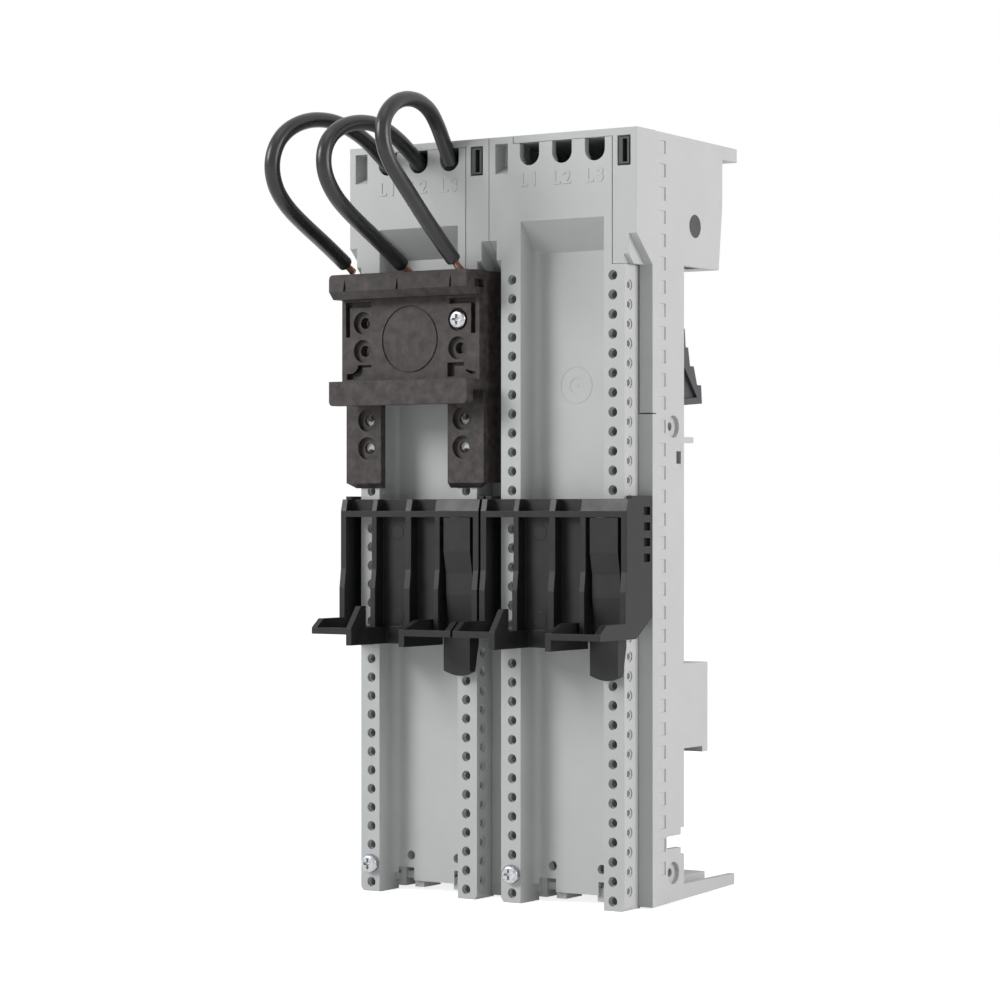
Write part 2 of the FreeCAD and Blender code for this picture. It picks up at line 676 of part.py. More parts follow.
def side_wall():
    """The right-hand side wall with its upper block, hook, tab, leg and rear notches."""
    outline = [
        (0, HEIGHT), (LIP_REACH, HEIGHT - TOP_FALL), (LIP_REACH, HEIGHT - LIP_DROP),
        (BLOCK_DEPTH, HEIGHT - LIP_DROP),
        (BLOCK_DEPTH, BLOCK_BOTTOM + BLOCK_KNEE_HEIGHT), (BLOCK_DEPTH - BLOCK_TAPER, BLOCK_BOTTOM),
        (BODY_DEPTH, BLOCK_BOTTOM), (BODY_DEPTH, LEG_TOP), (LEG_REACH, LEG_TOP),
        (LEG_REACH, LEG_TOP - LEG_HEIGHT), (LEDGE_DEPTH, LEG_FOOT), (LEDGE_DEPTH, HEADER_BOTTOM), (0, RAMP_TOP),
    ]
    wall = prism_x(outline, WALL_INNER, HALF)
    hook = box(WALL_INNER, HALF, BACK_INNER, HOOK_BACK, HOOK_CEILING, HOOK_TOP)
    tab_height = BAR_TOPS[1] + TAB_RISE
    tab = box(WALL_INNER, HALF, BACK_INNER, BODY_DEPTH + TAB_REACH, tab_height, tab_height + TAB_THICKNESS)
    notches = rear_notch(BAR_TOPS[1] + UPPER_NOTCH_RISE, UPPER_SLOT_DEPTH)
    notches += rear_notch(LOWER_NOTCH_RISE, LOWER_SLOT_DEPTH)
    return fuse([wall, hook, tab]).cut(notches)


def rear_notch(middle, slot_depth):
    """A shallow notch in the rear edge with a deeper slot in its middle."""
    half = NOTCH_HEIGHT / 2
    slot = SLOT_HEIGHT / 2
    shallow = box(-HALF - 1, HALF + 1, BODY_DEPTH - NOTCH_DEPTH, BODY_DEPTH + 1, middle - half, middle + half)
    deep = box(-HALF - 1, HALF + 1, BODY_DEPTH - slot_depth, BODY_DEPTH + 1, middle - slot, middle + slot)
    return [shallow, deep]


def header_casing():
    """The base's own corner of the header, on the right, round the release button."""
    solid = box(CASING_LEFT, HALF, 0, LEDGE_DEPTH + WALL, HEADER_BOTTOM, HEIGHT)
    upper = box(
        CASING_INNER, WALL_INNER, HEADER_SKIN, LEDGE_DEPTH + WALL + 1, RAMP_TOP + WALL, HEIGHT - LINTEL,
    )
    lower = box(
        CASING_INNER, RAMP_INNER - WALL / 2, HEADER_SKIN, LEDGE_DEPTH + WALL + 1,
        HEADER_BOTTOM + WALL, RAMP_TOP + WALL,
    )
    frame = button_window(BUTTON_FRAME, -1, BUTTON_FRAME_DEPTH)
    window = button_window(BUTTON_FIT, 0, HEADER_SKIN + 1)
    return solid.cut([upper, lower, frame, window] + ramp_cuts())


def button_window(gap, y0, y1):
    """The opening for the release button, with a gap all round."""
    half = BUTTON_WIDTH / 2 + gap
    bottom = BUTTON_TOP - BUTTON_HEIGHT - gap
    return box(BUTTON_MIDDLE - half, BUTTON_MIDDLE + half, y0, y1, bottom, BUTTON_TOP + gap)


def inner_wall():
    """The wall between the latch lever's chamber and the rest of the module."""
    outline = [
        (LEDGE_DEPTH + WALL, HEIGHT - LINTEL), (BLOCK_INNER, HEIGHT - LINTEL),
        (BLOCK_INNER, BLOCK_BOTTOM + BLOCK_KNEE_HEIGHT), (BLOCK_INNER - BLOCK_TAPER, BLOCK_BOTTOM),
        (BODY_DEPTH, BLOCK_BOTTOM), (BODY_DEPTH, LATCH_WINDOW_BOTTOM),
        (LEDGE_DEPTH + WALL, LATCH_WINDOW_BOTTOM),
    ]
    return prism_x(outline, CASING_LEFT, CASING_INNER)


def rod_guide():
    """A rib across the chamber with a window that guides the button's rod."""
    rib = box(CASING_LEFT, HALF, GUIDE_DEPTH, GUIDE_DEPTH + WALL, BUTTON_TOP - BUTTON_HEIGHT, HEIGHT - LINTEL)
    half_width = ROD_WIDTH / 2 + BUTTON_FIT
    half_height = ROD_HEIGHT / 2 + BUTTON_FIT
    window = box(
        BUTTON_MIDDLE - half_width, BUTTON_MIDDLE + half_width, GUIDE_DEPTH - 1, GUIDE_DEPTH + WALL + 1,
        BUTTON_HEIGHT_MIDDLE - half_height, BUTTON_HEIGHT_MIDDLE + half_height,
    )
    return rib.cut(window)


def block_walls():
    """Top wall with the rear lip, and the back and bottom walls of the upper block."""
    underside = HEIGHT - LINTEL
    top = [(0, underside), (0, HEIGHT), (LIP_REACH, HEIGHT - TOP_FALL), (LIP_REACH, underside)]
    top = prism_x(top, -HALF, HALF)
    lip = box(-HALF, HALF, BLOCK_INNER, LIP_REACH, HEIGHT - LIP_DROP, underside)
    plate_corner = box(-HALF - 1, -PARTING + SEAM, -1, HEADER_BACK, underside - 1, HEIGHT + 1)
    knee = BLOCK_BOTTOM + BLOCK_KNEE_HEIGHT
    back = prism_x(
        [
            (BLOCK_DEPTH, HEIGHT - LINTEL), (BLOCK_DEPTH, knee), (BLOCK_DEPTH - BLOCK_TAPER, BLOCK_BOTTOM),
            (BLOCK_INNER - BLOCK_TAPER, BLOCK_BOTTOM), (BLOCK_INNER, knee), (BLOCK_INNER, HEIGHT - LINTEL),
        ],
        -HALF, HALF,
    )
    bottom = box(-HALF, HALF, BACK_INNER, BLOCK_INNER - BLOCK_TAPER + WALL, BLOCK_BOTTOM, BLOCK_BOTTOM + WALL)
    lever_way = box(
        CASING_INNER, WALL_INNER, BACK_INNER - 1, PIVOT_DEPTH + HUB_RADIUS,
        BLOCK_BOTTOM - 1, BLOCK_BOTTOM + WALL + 1,
    )
    return [top.cut(plate_corner), lip, back, bottom.cut(lever_way)]


def back_wall():
    """The wall in the seating plane, with windows for the latch and the three contact clips."""
    wall = box(-HALF, HALF, BACK_INNER, BODY_DEPTH, LEG_TOP - TONGUE_THICKNESS, BLOCK_BOTTOM + WALL)
    windows = [
        box(
            CASING_INNER, WALL_INNER, BACK_INNER - 1, BODY_DEPTH + 1,
            LATCH_WINDOW_BOTTOM, BLOCK_BOTTOM + WALL + 1,
        )
    ]
    half = CLIP_WIDTH / 2 + BAR_PLAY
    for x, top in zip(NOTCH_LINES, BAR_TOPS):
        low = top - CLIP_BLADE - CLIP_PLAY
        high = top + CLIP_ROOF + CLIP_BEND + CLIP_THICKNESS
        windows.append(box(x - half, x + half, BACK_INNER - 1, BODY_DEPTH + 1, low, high))
    return wall.cut(windows)


def hook_block():
    """The hook that hangs over the lowest bar: a back lip, a roof and two inner ribs."""
    lip = box(-HALF, HALF, HOOK_LIP_FRONT, HOOK_BACK, HOOK_CEILING - HOOK_LIP_DROP, HOOK_TOP)
    roof = box(-HALF, HALF, BACK_INNER, HOOK_BACK, HOOK_TOP - WALL, HOOK_TOP)
    rib = box(STRIP_INNER + WALL, STRIP_INNER + 2 * WALL, BACK_INNER, HOOK_BACK, HOOK_CEILING, HOOK_TOP)
    half = CLIP_WIDTH / 2 + BAR_PLAY
    clip_room = box(
        NOTCH_PITCH - half, NOTCH_PITCH + half, BACK_INNER - 1, HOOK_BACK + 1,
        HOOK_CEILING - HOOK_LIP_DROP - 1, BAR_TOPS[2] + CLIP_ROOF + CLIP_BEND,
    )
    return [lip.cut(clip_room), roof, rib, mirrored(rib)]


def cross_rib(z):
    """A rib behind the front plate, slotted for the three leads."""
    rib = box(-HALF, CASING_LEFT, FLOOR_BACK, BACK_INNER, z, z + RIB_THICKNESS)
    half = LEAD_SLOT / 2
    slots = []
    for x in NOTCH_LINES:
        slots.append(box(x - half, x + half, FLOOR_BACK - 1, BACK_INNER, z - 1, z + RIB_THICKNESS + 1))
    return rib.cut(slots)


def coupling_boss(z):
    """The round seat of a coupling dowel, inside the right-hand wall."""
    depth = COUPLING_DEPTH + COUPLING_WALL
    return rod_x(HALF - depth, HALF, COUPLING_LINE, z, COUPLING_RADIUS + COUPLING_WALL)


def coupling_recess(z):
    depth = COUPLING_DEPTH + COUPLING_WALL
    recess = rod_x(HALF - COUPLING_DEPTH, HALF + 1, COUPLING_LINE, z, COUPLING_RADIUS)
    pilot = rod_x(HALF - depth - 1, HALF, COUPLING_LINE, z, PILOT_RADIUS)
    return [recess, pilot]


def side_marks():
    """The column of wedge-shaped marks in the right-hand side wall."""
    marks = []
    outline = [
        (HALF, MARK_FRONT), (HALF + 1, MARK_FRONT), (HALF + 1, MARK_BACK), (HALF - MARK_DEPTH, MARK_BACK),
    ]
    top = HEIGHT - MARK_TOP
    while top - MARK_HEIGHT > LEG_TOP:
        marks.append(prism_z(outline, top - MARK_HEIGHT, top))
        top -= MARK_PITCH
    return marks


def ledge_slits():
    """A thin cut across the right-hand ledge below the latch, and one along its inner edge above that."""
    height = LATCH_WINDOW_BOTTOM - SLIT_DROP
    inner = STRIP_OUTER - STRIP_INSET
    across = box(inner, HALF + 1, LEDGE_DEPTH - 1, LEDGE_DEPTH + SLIT_REACH, height, height + SLIT_WIDTH)
    along = box(
        inner, inner + PIECE_GAP + SLIT_WIDTH, LEDGE_DEPTH - 1, LEDGE_DEPTH + SLIT_REACH, height, HEADER_BOTTOM,
    )
    return [across, along]


def base():
    wall = side_wall()
    header_room = box(-HALF - 1, 0, -1, HEADER_BACK, HEADER_BOTTOM - PIECE_GAP, HEIGHT + 1)
    ledge = box(
        STRIP_OUTER - STRIP_INSET + PIECE_GAP, HALF, LEDGE_DEPTH, LEDGE_DEPTH + WALL, LEG_FOOT, HEADER_BOTTOM,
    )
    left_ledge = mirrored(ledge)
    bottom = box(-HALF, HALF, FLOOR_BACK + PIECE_GAP, BODY_DEPTH, LEG_TOP - TONGUE_THICKNESS, LEG_TOP)
    tongue = box(
        -TONGUE_WIDTH / 2, TONGUE_WIDTH / 2, BACK_INNER, LEG_REACH, LEG_TOP - TONGUE_THICKNESS, LEG_TOP,
    )
    boss_end = FLOOR_BACK + PLATE_BOSS_LENGTH
    boss = rod_y(-HOLE_LINE, FLOOR_BACK, boss_end, PLATE_SCREW_HEIGHT, PLATE_BOSS_RADIUS)
    pieces = [wall, mirrored(wall).cut(header_room), ledge, left_ledge, bottom, tongue, boss]
    pieces += [header_casing(), inner_wall(), rod_guide(), back_wall()]
    pieces += block_walls() + hook_block()
    pieces += [cross_rib(z) for z in RIB_HEIGHTS]
    cuts = [
        rod_x(CASING_LEFT - 1, HALF + 1, PIVOT_DEPTH, PIVOT_HEIGHT, TRUNNION_RADIUS + RUNNING_GAP),
        rod_y(-HOLE_LINE, FLOOR_BACK - 1, boss_end + 1, PLATE_SCREW_HEIGHT, SCREW_HOLE_RADIUS),
    ]
    cuts += side_marks() + ledge_slits()
    for z in COUPLING_HEIGHTS:
        seat = coupling_boss(z)
        pieces += [seat, mirrored(seat)]
        for cut in coupling_recess(z):
            cuts += [cut, mirrored(cut)]
    cuts += rear_notch(LOWER_NOTCH_RISE, NOTCH_DEPTH)
    return fuse(pieces).cut(cuts).removeSplitter()


def latch_lever():
    """A bell crank on two trunnions: an upright arm for the button, a stepped arm that catches the bar."""
    front = BODY_DEPTH - LOWER_ARM_FRONT
    back = BODY_DEPTH - LOWER_ARM_INSET
    bend = BAR_TOPS[0] + ARM_BEND_RISE
    tooth_top = BAR_TOPS[0] - TOOTH_DROP
    foot = tooth_top - 4 * TOOTH_PITCH
    half = ARM_THICKNESS / 2
    outline = [
        (PIVOT_DEPTH - half, HEIGHT - ARM_TOP_DROP), (PIVOT_DEPTH + half, HEIGHT - ARM_TOP_DROP),
        (PIVOT_DEPTH + half, PIVOT_HEIGHT), (PIVOT_DEPTH + half / 2, PIVOT_HEIGHT - HUB_RADIUS + 1),
        (back, bend), (back, tooth_top),
    ]
    for step, (tread, riser) in enumerate(zip(TREAD_REACH, RISER_REACH)):
        outline.append((BODY_DEPTH + tread, tooth_top - step * TOOTH_PITCH))
        outline.append((BODY_DEPTH + riser, tooth_top - (step + 1) * TOOTH_PITCH))
    outline += [
        (BODY_DEPTH - LEVER_FOOT_FRONT, foot - 1), (front, tooth_top), (front, bend),
        (PIVOT_DEPTH - HUB_RADIUS + 0.5, PIVOT_HEIGHT - 1), (PIVOT_DEPTH - half, PIVOT_HEIGHT + HUB_RADIUS),
    ]
    lever = prism_x(outline, LEVER_LEFT, LEVER_RIGHT)
    hub = rod_x(LEVER_LEFT, LEVER_RIGHT, PIVOT_DEPTH, PIVOT_HEIGHT, HUB_RADIUS)
    trunnion = rod_x(CASING_LEFT + PIECE_GAP, HALF - PIECE_GAP, PIVOT_DEPTH, PIVOT_HEIGHT, TRUNNION_RADIUS)
    pocket = prism_x(
        [
            (BODY_DEPTH + LEVER_RIM, tooth_top - 2 * TOOTH_PITCH + LEVER_RIM),
            (BODY_DEPTH + RISER_REACH[2], foot + LEVER_RIM),
            (BODY_DEPTH + LEVER_RIM, foot + LEVER_RIM / 2),
        ],
        LEVER_RIGHT - LEVER_POCKET_DEPTH, LEVER_RIGHT + 1,
    )
    return fuse([lever, hub, trunnion]).cut(pocket)


def release_button():
    """The slotted key in the header and the rod that pushes the lever's upright arm."""
    half = BUTTON_WIDTH / 2
    head = box(
        BUTTON_MIDDLE - half, BUTTON_MIDDLE + half, 0, BUTTON_BODY, BUTTON_TOP - BUTTON_HEIGHT, BUTTON_TOP,
    )
    rod_end = PIVOT_DEPTH - ARM_THICKNESS / 2 - PIECE_GAP
    rod = box(
        BUTTON_MIDDLE - ROD_WIDTH / 2, BUTTON_MIDDLE + ROD_WIDTH / 2, BUTTON_BODY / 2, rod_end,
        BUTTON_HEIGHT_MIDDLE - ROD_HEIGHT / 2, BUTTON_HEIGHT_MIDDLE + ROD_HEIGHT / 2,
    )
    slot_middle = BUTTON_MIDDLE + BUTTON_SLOT_SHIFT
    slot = box(
        slot_middle - BUTTON_SLOT_WIDTH / 2, slot_middle + BUTTON_SLOT_WIDTH / 2, -1, BUTTON_SLOT_DEPTH,
        BUTTON_HEIGHT_MIDDLE - BUTTON_SLOT_HEIGHT / 2, BUTTON_HEIGHT_MIDDLE + BUTTON_SLOT_HEIGHT / 2,
    )
    return fuse([head, rod]).cut(slot)


def latch_spring():
    """A bent leaf between the block's back wall and the lever's upright arm."""
    wall_side = BLOCK_INNER - SPRING_THICKNESS / 2
    top = HEIGHT - LIP_DROP - SPRING_BEND
    arm_side = PIVOT_DEPTH + ARM_THICKNESS / 2 + SPRING_THICKNESS / 2
    path = [(wall_side, top - SPRING_FOOT), (wall_side, top), (arm_side, top - SPRING_SLOPE)]
    x0 = BUTTON_MIDDLE - SPRING_WIDTH / 2
    return bent_strip(path, SPRING_BEND, SPRING_THICKNESS, x0, x0 + SPRING_WIDTH)


def contact_clip(x, bar_top):
    """A strip bent over a bar: contact blade in front, roof above, sprung hook behind."""
    blade = BODY_DEPTH - CLIP_PLAY - CLIP_THICKNESS / 2
    hook = BODY_DEPTH + BAR_THICKNESS + CLIP_PLAY + CLIP_THICKNESS / 2
    roof = bar_top + CLIP_ROOF
    path = [
        (blade, bar_top - CLIP_BLADE), (blade, roof), (hook, roof),
        (hook, bar_top - CLIP_HOOK), (hook + CLIP_FLARE, bar_top - CLIP_HOOK - 2 * CLIP_FLARE),
    ]
    return bent_strip(path, CLIP_BEND, CLIP_THICKNESS, x - CLIP_WIDTH / 2, x + CLIP_WIDTH / 2)


def wire_exit(row):
    """Where a lead leaves its notch, and the direction in which it leaves."""
    angle = math.radians(WIRE_EXIT_ANGLES[row])
    start = Vector(LEFT + NOTCH_LINES[row], WIRE_EXIT, WIRE_HEIGHT)
    return start, Vector(0, -math.cos(angle), math.sin(angle))


def inner_lead(row):
    """The stretch of a lead inside the module, from the notch down to its clip's blade."""
    start, out = wire_exit(row)
    inside = start - out * LEAD_FIRST_RUN
    end = BODY_DEPTH - CLIP_PLAY - CLIP_THICKNESS
    joint = BAR_TOPS[row] - CLIP_BLADE / 2
    points = [
        start, inside, Vector(start.x, LEAD_DEPTH, inside.z - LEAD_DROP),
        Vector(start.x, LEAD_DEPTH, joint), Vector(start.x, end, joint),
    ]
    radii = [WIRE_DIAMETER * 2, WIRE_DIAMETER * 2, WIRE_DIAMETER]
    return tube(points, radii, WIRE_RADIUS)


def wire_points(row):
    start, out = wire_exit(row)
    route = [Vector(LEFT + x, y, HEIGHT + z) for x, y, z in WIRE_ROUTES[row]]
    return [start, start + out * WIRE_FIRST_RUNS[row]] + route


def wire(row):
    points = wire_points(row)
    radii = largest_radii(points, 0.45)
    solid = tube(points, radii, WIRE_RADIUS)
    length = Part.Wire(rounded_path(points, radii)).Length
    expected = math.pi * WIRE_RADIUS ** 2 * length
    print("wire", row + 1, "length", round(length, 1), "volume share", round(solid.Volume / expected, 4))
    print("radii", [round(radius, 1) for radius in radii])
    return solid


def wire_core(row):
    """The bare tip of a lead."""
    points = wire_points(row)
    return Part.makeCylinder(CORE_RADIUS, CORE_LENGTH, points[-1], points[-1] - points[-2])


def rail_flanges():
    """The upper and lower edge of the rail with the webs behind them."""
    half = RAIL_WIDTH / 2
    back = RAIL_DEPTH - RAIL_FLANGE_THICKNESS
    upper_under = RAIL_TOP - RAIL_FLANGE
    lower_over = RAIL_LOW + RAIL_FLANGE
    upper = [
        (-RAIL_DEPTH, RAIL_TOP), (-back, RAIL_TOP), (-back, upper_under + RAIL_WEB),
        (-RAIL_LEG, upper_under + RAIL_WEB), (-RAIL_LEG, upper_under), (-RAIL_DEPTH + RAIL_BEVEL, upper_under),
        (-RAIL_DEPTH, upper_under + RAIL_BEVEL),
    ]
    lower = [
        (-RAIL_DEPTH, RAIL_LOW), (-back, RAIL_LOW), (-back, lower_over - RAIL_WEB),
        (-RAIL_LEG, lower_over - RAIL_WEB), (-RAIL_LEG, lower_over), (-RAIL_DEPTH, lower_over),
    ]
    flanges = []
    for outline, outer in ((upper, RAIL_TOP), (lower, RAIL_LOW)):
        flange = prism_x(outline, -half, half)
        ends = [edge for edge in flange.Edges if abs(abs(edge.CenterOfMass.x) - half) < 0.01]
        ends = [edge for edge in ends if abs(edge.CenterOfMass.z - outer) < 0.01]
        flanges.append(flange.makeFillet(RAIL_END_ROUND, ends))
    return flanges


def rail_leg():
    """The right-hand leg, bevelled at its foot, with the skirt that reaches round the strip to the ledge."""
    half = RAIL_WIDTH / 2
    front = -RAIL_LEG
    bottom = RAIL_LEG_BOTTOM
    top = RAIL_TOP - RAIL_FLANGE + RAIL_WEB
    corner = bottom + RAIL_LEG_CORNER_RISE
    inner = half - RAIL_LEG_WIDTH
    outline = [
        (inner, top), (half, top), (half, corner), (half - RAIL_LEG_CORNER_WIDTH, bottom), (inner, bottom),
    ]
    bevel = [
        (front - 1, bottom - 1), (front - 1, bottom + RAIL_LEG_BEVEL), (front, bottom + RAIL_LEG_BEVEL),
        (front + RAIL_LEG_BEVEL_DEPTH, bottom), (front + RAIL_LEG_BEVEL_DEPTH, bottom - 1),
    ]
    leg = prism_y(outline, front, 0).cut(prism_x(bevel, inner - 1, half + 1))
    skirt = box(half - RAIL_SKIRT, half, front, LEDGE_DEPTH, corner, RAIL_TOP)
    cheek = box(half - RAIL_CHEEK, half, RAIL_FLANGE_THICKNESS - RAIL_DEPTH, front, top, RAIL_TOP)
    return [leg, skirt, cheek]


def rail_window():
    """The opening in the rail's right-hand end, behind the upper flange."""
    half = RAIL_WIDTH / 2
    front = RAIL_WINDOW_FRONT - RAIL_DEPTH
    top = RAIL_TOP - RAIL_WINDOW_DROP
    return box(
        half - RAIL_SKIRT, half + 1, front, front + RAIL_WINDOW_LENGTH, top - RAIL_WINDOW_HEIGHT, top,
    )


def rail_hole(x, z, front):
    through = rod_y(x, -RAIL_DEPTH, 1, z, RAIL_HOLE_RADIUS)
    sink = rod_y(x, -RAIL_DEPTH, front + RAIL_SINK_DEPTH, z, RAIL_SINK_RADIUS)
    return [sink, through]


def rail_upper_slots():
    """The L-shaped slot round the upper hole, on the right-hand side."""
    top = RAIL_TOP - RAIL_FLANGE - RAIL_SLOT_DROP
    front = -RAIL_LEG - RAIL_PLATE
    outer = RAIL_WIDTH / 2 - RAIL_SLOT_INSET
    depth = front + RAIL_SLOT_DEPTH
    return [
        box(outer - RAIL_SLOT, outer, front - 1, depth, top - RAIL_SLOT_LENGTH, top),
        box(outer - RAIL_SLOT_RUN, outer, front - 1, depth, top - RAIL_SLOT, top),
    ]


def rail_lower_slots():
    """The slots below the lower holes: a bent one on the left, an angle and a short one on the right."""
    front = -RAIL_LEG - RAIL_PLATE
    slots = []
    for outline, side in ((RAIL_BENT_SLOT, -1), (RAIL_ANGLE_SLOT, 1), (RAIL_SHORT_SLOT, 1)):
        points = [(side * (RAIL_WIDTH / 2 - inset), RAIL_SCREW_HEIGHT - drop) for inset, drop in outline]
        slots.append(prism_y(points, front - 1, front + RAIL_SLOT_DEPTH))
    return slots


def rail_ring():
    """The round groove in the middle of the rail's plate."""
    front = -RAIL_LEG - RAIL_PLATE
    half = RAIL_RING_WIDTH / 2
    disc = rod_y(0, front - 1, front + RAIL_RING_DEPTH, RAIL_MIDDLE, RAIL_RING_RADIUS + half)
    core = rod_y(0, front - 2, front + RAIL_PLATE, RAIL_MIDDLE, RAIL_RING_RADIUS - half)
    return disc.cut(core)


def rail_tick(x):
    """A wedge-shaped mark in the upper flange."""
    bottom = RAIL_TOP - RAIL_FLANGE + RAIL_BEVEL
    half = RAIL_TICK_WIDTH / 2
    outline = [(x - half, bottom), (x + half, bottom), (x, bottom + RAIL_TICK_HEIGHT)]
    return prism_y(outline, -RAIL_DEPTH - 1, -RAIL_DEPTH + RAIL_TICK_DEPTH)


def device_rail():
    half = RAIL_WIDTH / 2
    low = RAIL_LOW + RAIL_FLANGE - RAIL_WEB
    high = RAIL_TOP - RAIL_FLANGE + RAIL_WEB
    plate = box(-half, half, -RAIL_LEG - RAIL_PLATE, -RAIL_LEG, low, high)
    leg = rail_leg()
    pieces = rail_flanges() + [plate] + leg + [mirrored(shape) for shape in leg]
    cuts = [rail_tick(x) for x in (-RAIL_TICK_PITCH, 0.0, RAIL_TICK_PITCH)]
    for row in (0, 1):
        height = RAIL_SCREW_HEIGHT - row * RAIL_HOLE_PITCH
        plate_hole = rail_hole(HOLE_LINE, height, -RAIL_LEG - RAIL_PLATE)
        leg_hole = rail_hole(HOLE_LINE, height - RAIL_LEG_HOLE_DROP, -RAIL_LEG)
        cuts += plate_hole + leg_hole + [mirrored(hole) for hole in plate_hole + leg_hole]
    sides = rail_upper_slots() + [rail_window()]
    cuts += sides + [mirrored(cut) for cut in sides] + rail_lower_slots() + [rail_ring()]
    return fuse(pieces).cut(cuts)


def pan_screw(x, seat, z, length):
    """A pan-head screw with a cross recess, its head's underside at the seat."""
    head = rod_y(x, seat - SCREW_HEAD_HEIGHT, seat, z, SCREW_HEAD_RADIUS)
    rim = [edge for edge in head.Edges if edge.CenterOfMass.y < seat - SCREW_HEAD_HEIGHT / 2]
    rim = [edge for edge in rim if edge.Length > 2 * math.pi * SCREW_HEAD_RADIUS - 0.1]
    head = head.makeFillet(SCREW_HEAD_HEIGHT / 2, rim)
    shank = rod_y(x, seat - SCREW_HEAD_HEIGHT / 2, seat + length, z, SCREW_SHANK_RADIUS)
    long_half = SCREW_SOCKET_LENGTH / 2
    short_half = SCREW_SOCKET_WIDTH / 2
    front = seat - SCREW_HEAD_HEIGHT - 1
    back = seat - SCREW_HEAD_HEIGHT + SCREW_SOCKET_DEPTH
    across = box(x - long_half, x + long_half, front, back, z - short_half, z + short_half)
    upright = box(x - short_half, x + short_half, front, back, z - long_half, z + long_half)
    return fuse([head, shank]).cut([across, upright])


def carrier_front(bottom):
    """The front edge shared by a carrier's walls and ribs, from the top down to a height."""
    return [
        (-CARRIER_TOP_DEPTH, CARRIER_TOP), (-CARRIER_DEPTH, CARRIER_TOP - CARRIER_BAND + CARRIER_BAR),
        (-CARRIER_DEPTH, CARRIER_FACET_TOP), (-CARRIER_LOW_DEPTH, CARRIER_FACET_BOTTOM),
        (-CARRIER_LOW_DEPTH, bottom),
    ]


def carrier_wall(thickness):
    """The right-hand wall of a carrier with the skirt that reaches back to the ledge."""
    half = CARRIER_WIDTH / 2
    low_front = CARRIER_TOP - SKIRT_FRONT_DROP
    skirt_top = CARRIER_TOP + CARRIER_SKIRT_RISE
    outline = carrier_front(low_front) + [
        (0, low_front), (LEDGE_DEPTH, CARRIER_TOP - SKIRT_BACK_DROP), (LEDGE_DEPTH, skirt_top),
        (-SKIRT_STEP_DEPTH, skirt_top), (-SKIRT_STEP_DEPTH, CARRIER_TOP),
    ]
    wall = prism_x(outline, half - thickness, half)
    recesses = []
    recess_back = SKIRT_RECESS_FRONT + SKIRT_RECESS_LENGTH
    for row in range(SKIRT_RECESS_HOLES):
        top = CARRIER_TOP - SKIRT_RECESS_DROP - row * SKIRT_RECESS_PITCH
        recesses.append(
            box(
                half - SKIRT_RECESS_DEPTH, half + 1, SKIRT_RECESS_FRONT, recess_back,
                top - SKIRT_RECESS_HEIGHT, top,
            )
        )
    return wall.cut(recesses)


def gusset(x0, bottom, run):
    """An upright web that carries the end of a shelf bar, sloped in front."""
    top = SHELF_TOP + GUSSET_LOW
    outline = [
        (0, bottom), (0, top), (-SHELF_REACH + run, top), (-SHELF_REACH, SHELF_TOP), (-SHELF_REACH, bottom),
    ]
    return prism_x(outline, x0, x0 + GUSSET_THICKNESS)


def horned_gusset(x0):
    """The web at the right-hand end of the left shelf bar, with an upright horn in front."""
    top = SHELF_TOP + HORN_HEIGHT
    front = -SHELF_REACH + HORN_RUN
    outline = [
        (0, CARRIER_BOTTOM), (0, SHELF_TOP), (front + HORN_DEPTH, SHELF_TOP), (front + HORN_DEPTH, top),
        (front, top), (-SHELF_REACH, SHELF_TOP), (-SHELF_REACH, CARRIER_BOTTOM),
    ]
    return prism_x(outline, x0, x0 + GUSSET_THICKNESS)


def contactor_carrier():
    """A plug-on frame over both strips: ribbed panel, band and bar on top, two shelf bars in front."""
    half = CARRIER_WIDTH / 2
    band_bottom = CARRIER_TOP - CARRIER_BAND
    tongue_rib = TONGUE_LEFT - CARRIER_SHIFT - CARRIER_TONGUE_SLOT
    ribs = [(-half + place, -half + place + width, CARRIER_BOTTOM) for place, width in CARRIER_RIBS]
    ribs.append((tongue_rib - CARRIER_TONGUE_RIB, tongue_rib, SHELF_BOTTOM))
    low_end = half - SHELF_RIGHT + GUSSET_THICKNESS
    pieces = [
        mirrored(carrier_wall(CARRIER_LEFT_WALL)),
        carrier_wall(CARRIER_RIGHT_WALL),
        box(-half, half, -CARRIER_PANEL, 0, band_bottom, CARRIER_TOP),
        box(-half, half, -CARRIER_DEPTH, 0, band_bottom, band_bottom + CARRIER_BAR),
        box(ribs[0][0], tongue_rib, -CARRIER_PANEL, 0, SHELF_BOTTOM, CARRIER_TOP),
        box(-half + CARRIER_LEFT_WALL, low_end, -CARRIER_LOW_WALL, 0, CARRIER_BOTTOM, SHELF_TOP),
    ]
    above_tongue = carrier_front(band_bottom)[:2]
    above_tongue += [(-CARRIER_DEPTH, band_bottom), (0, band_bottom), (0, CARRIER_TOP)]
    pieces.append(prism_x(above_tongue, tongue_rib - CARRIER_TONGUE_RIB, half))
    for x0, x1, bottom in ribs:
        pieces.append(prism_x(carrier_front(bottom) + [(0, bottom), (0, CARRIER_TOP)], x0, x1))
    for x0, x1 in ((-half, -half + SHELF_LEFT), (half - SHELF_RIGHT, half)):
        pieces.append(box(x0, x1, -SHELF_REACH, -SHELF_REACH + SHELF_BAR, SHELF_BOTTOM, SHELF_TOP))
    pieces += [
        gusset(-half, SHELF_BOTTOM, GUSSET_LOW_RUN),
        horned_gusset(-half + SHELF_LEFT - GUSSET_THICKNESS),
        gusset(half - SHELF_RIGHT, CARRIER_BOTTOM, GUSSET_LONG_RUN),
        gusset(half - GUSSET_THICKNESS, SHELF_BOTTOM, GUSSET_LOW_RUN),
    ]
    return moved(fuse(pieces), CARRIER_SHIFT)


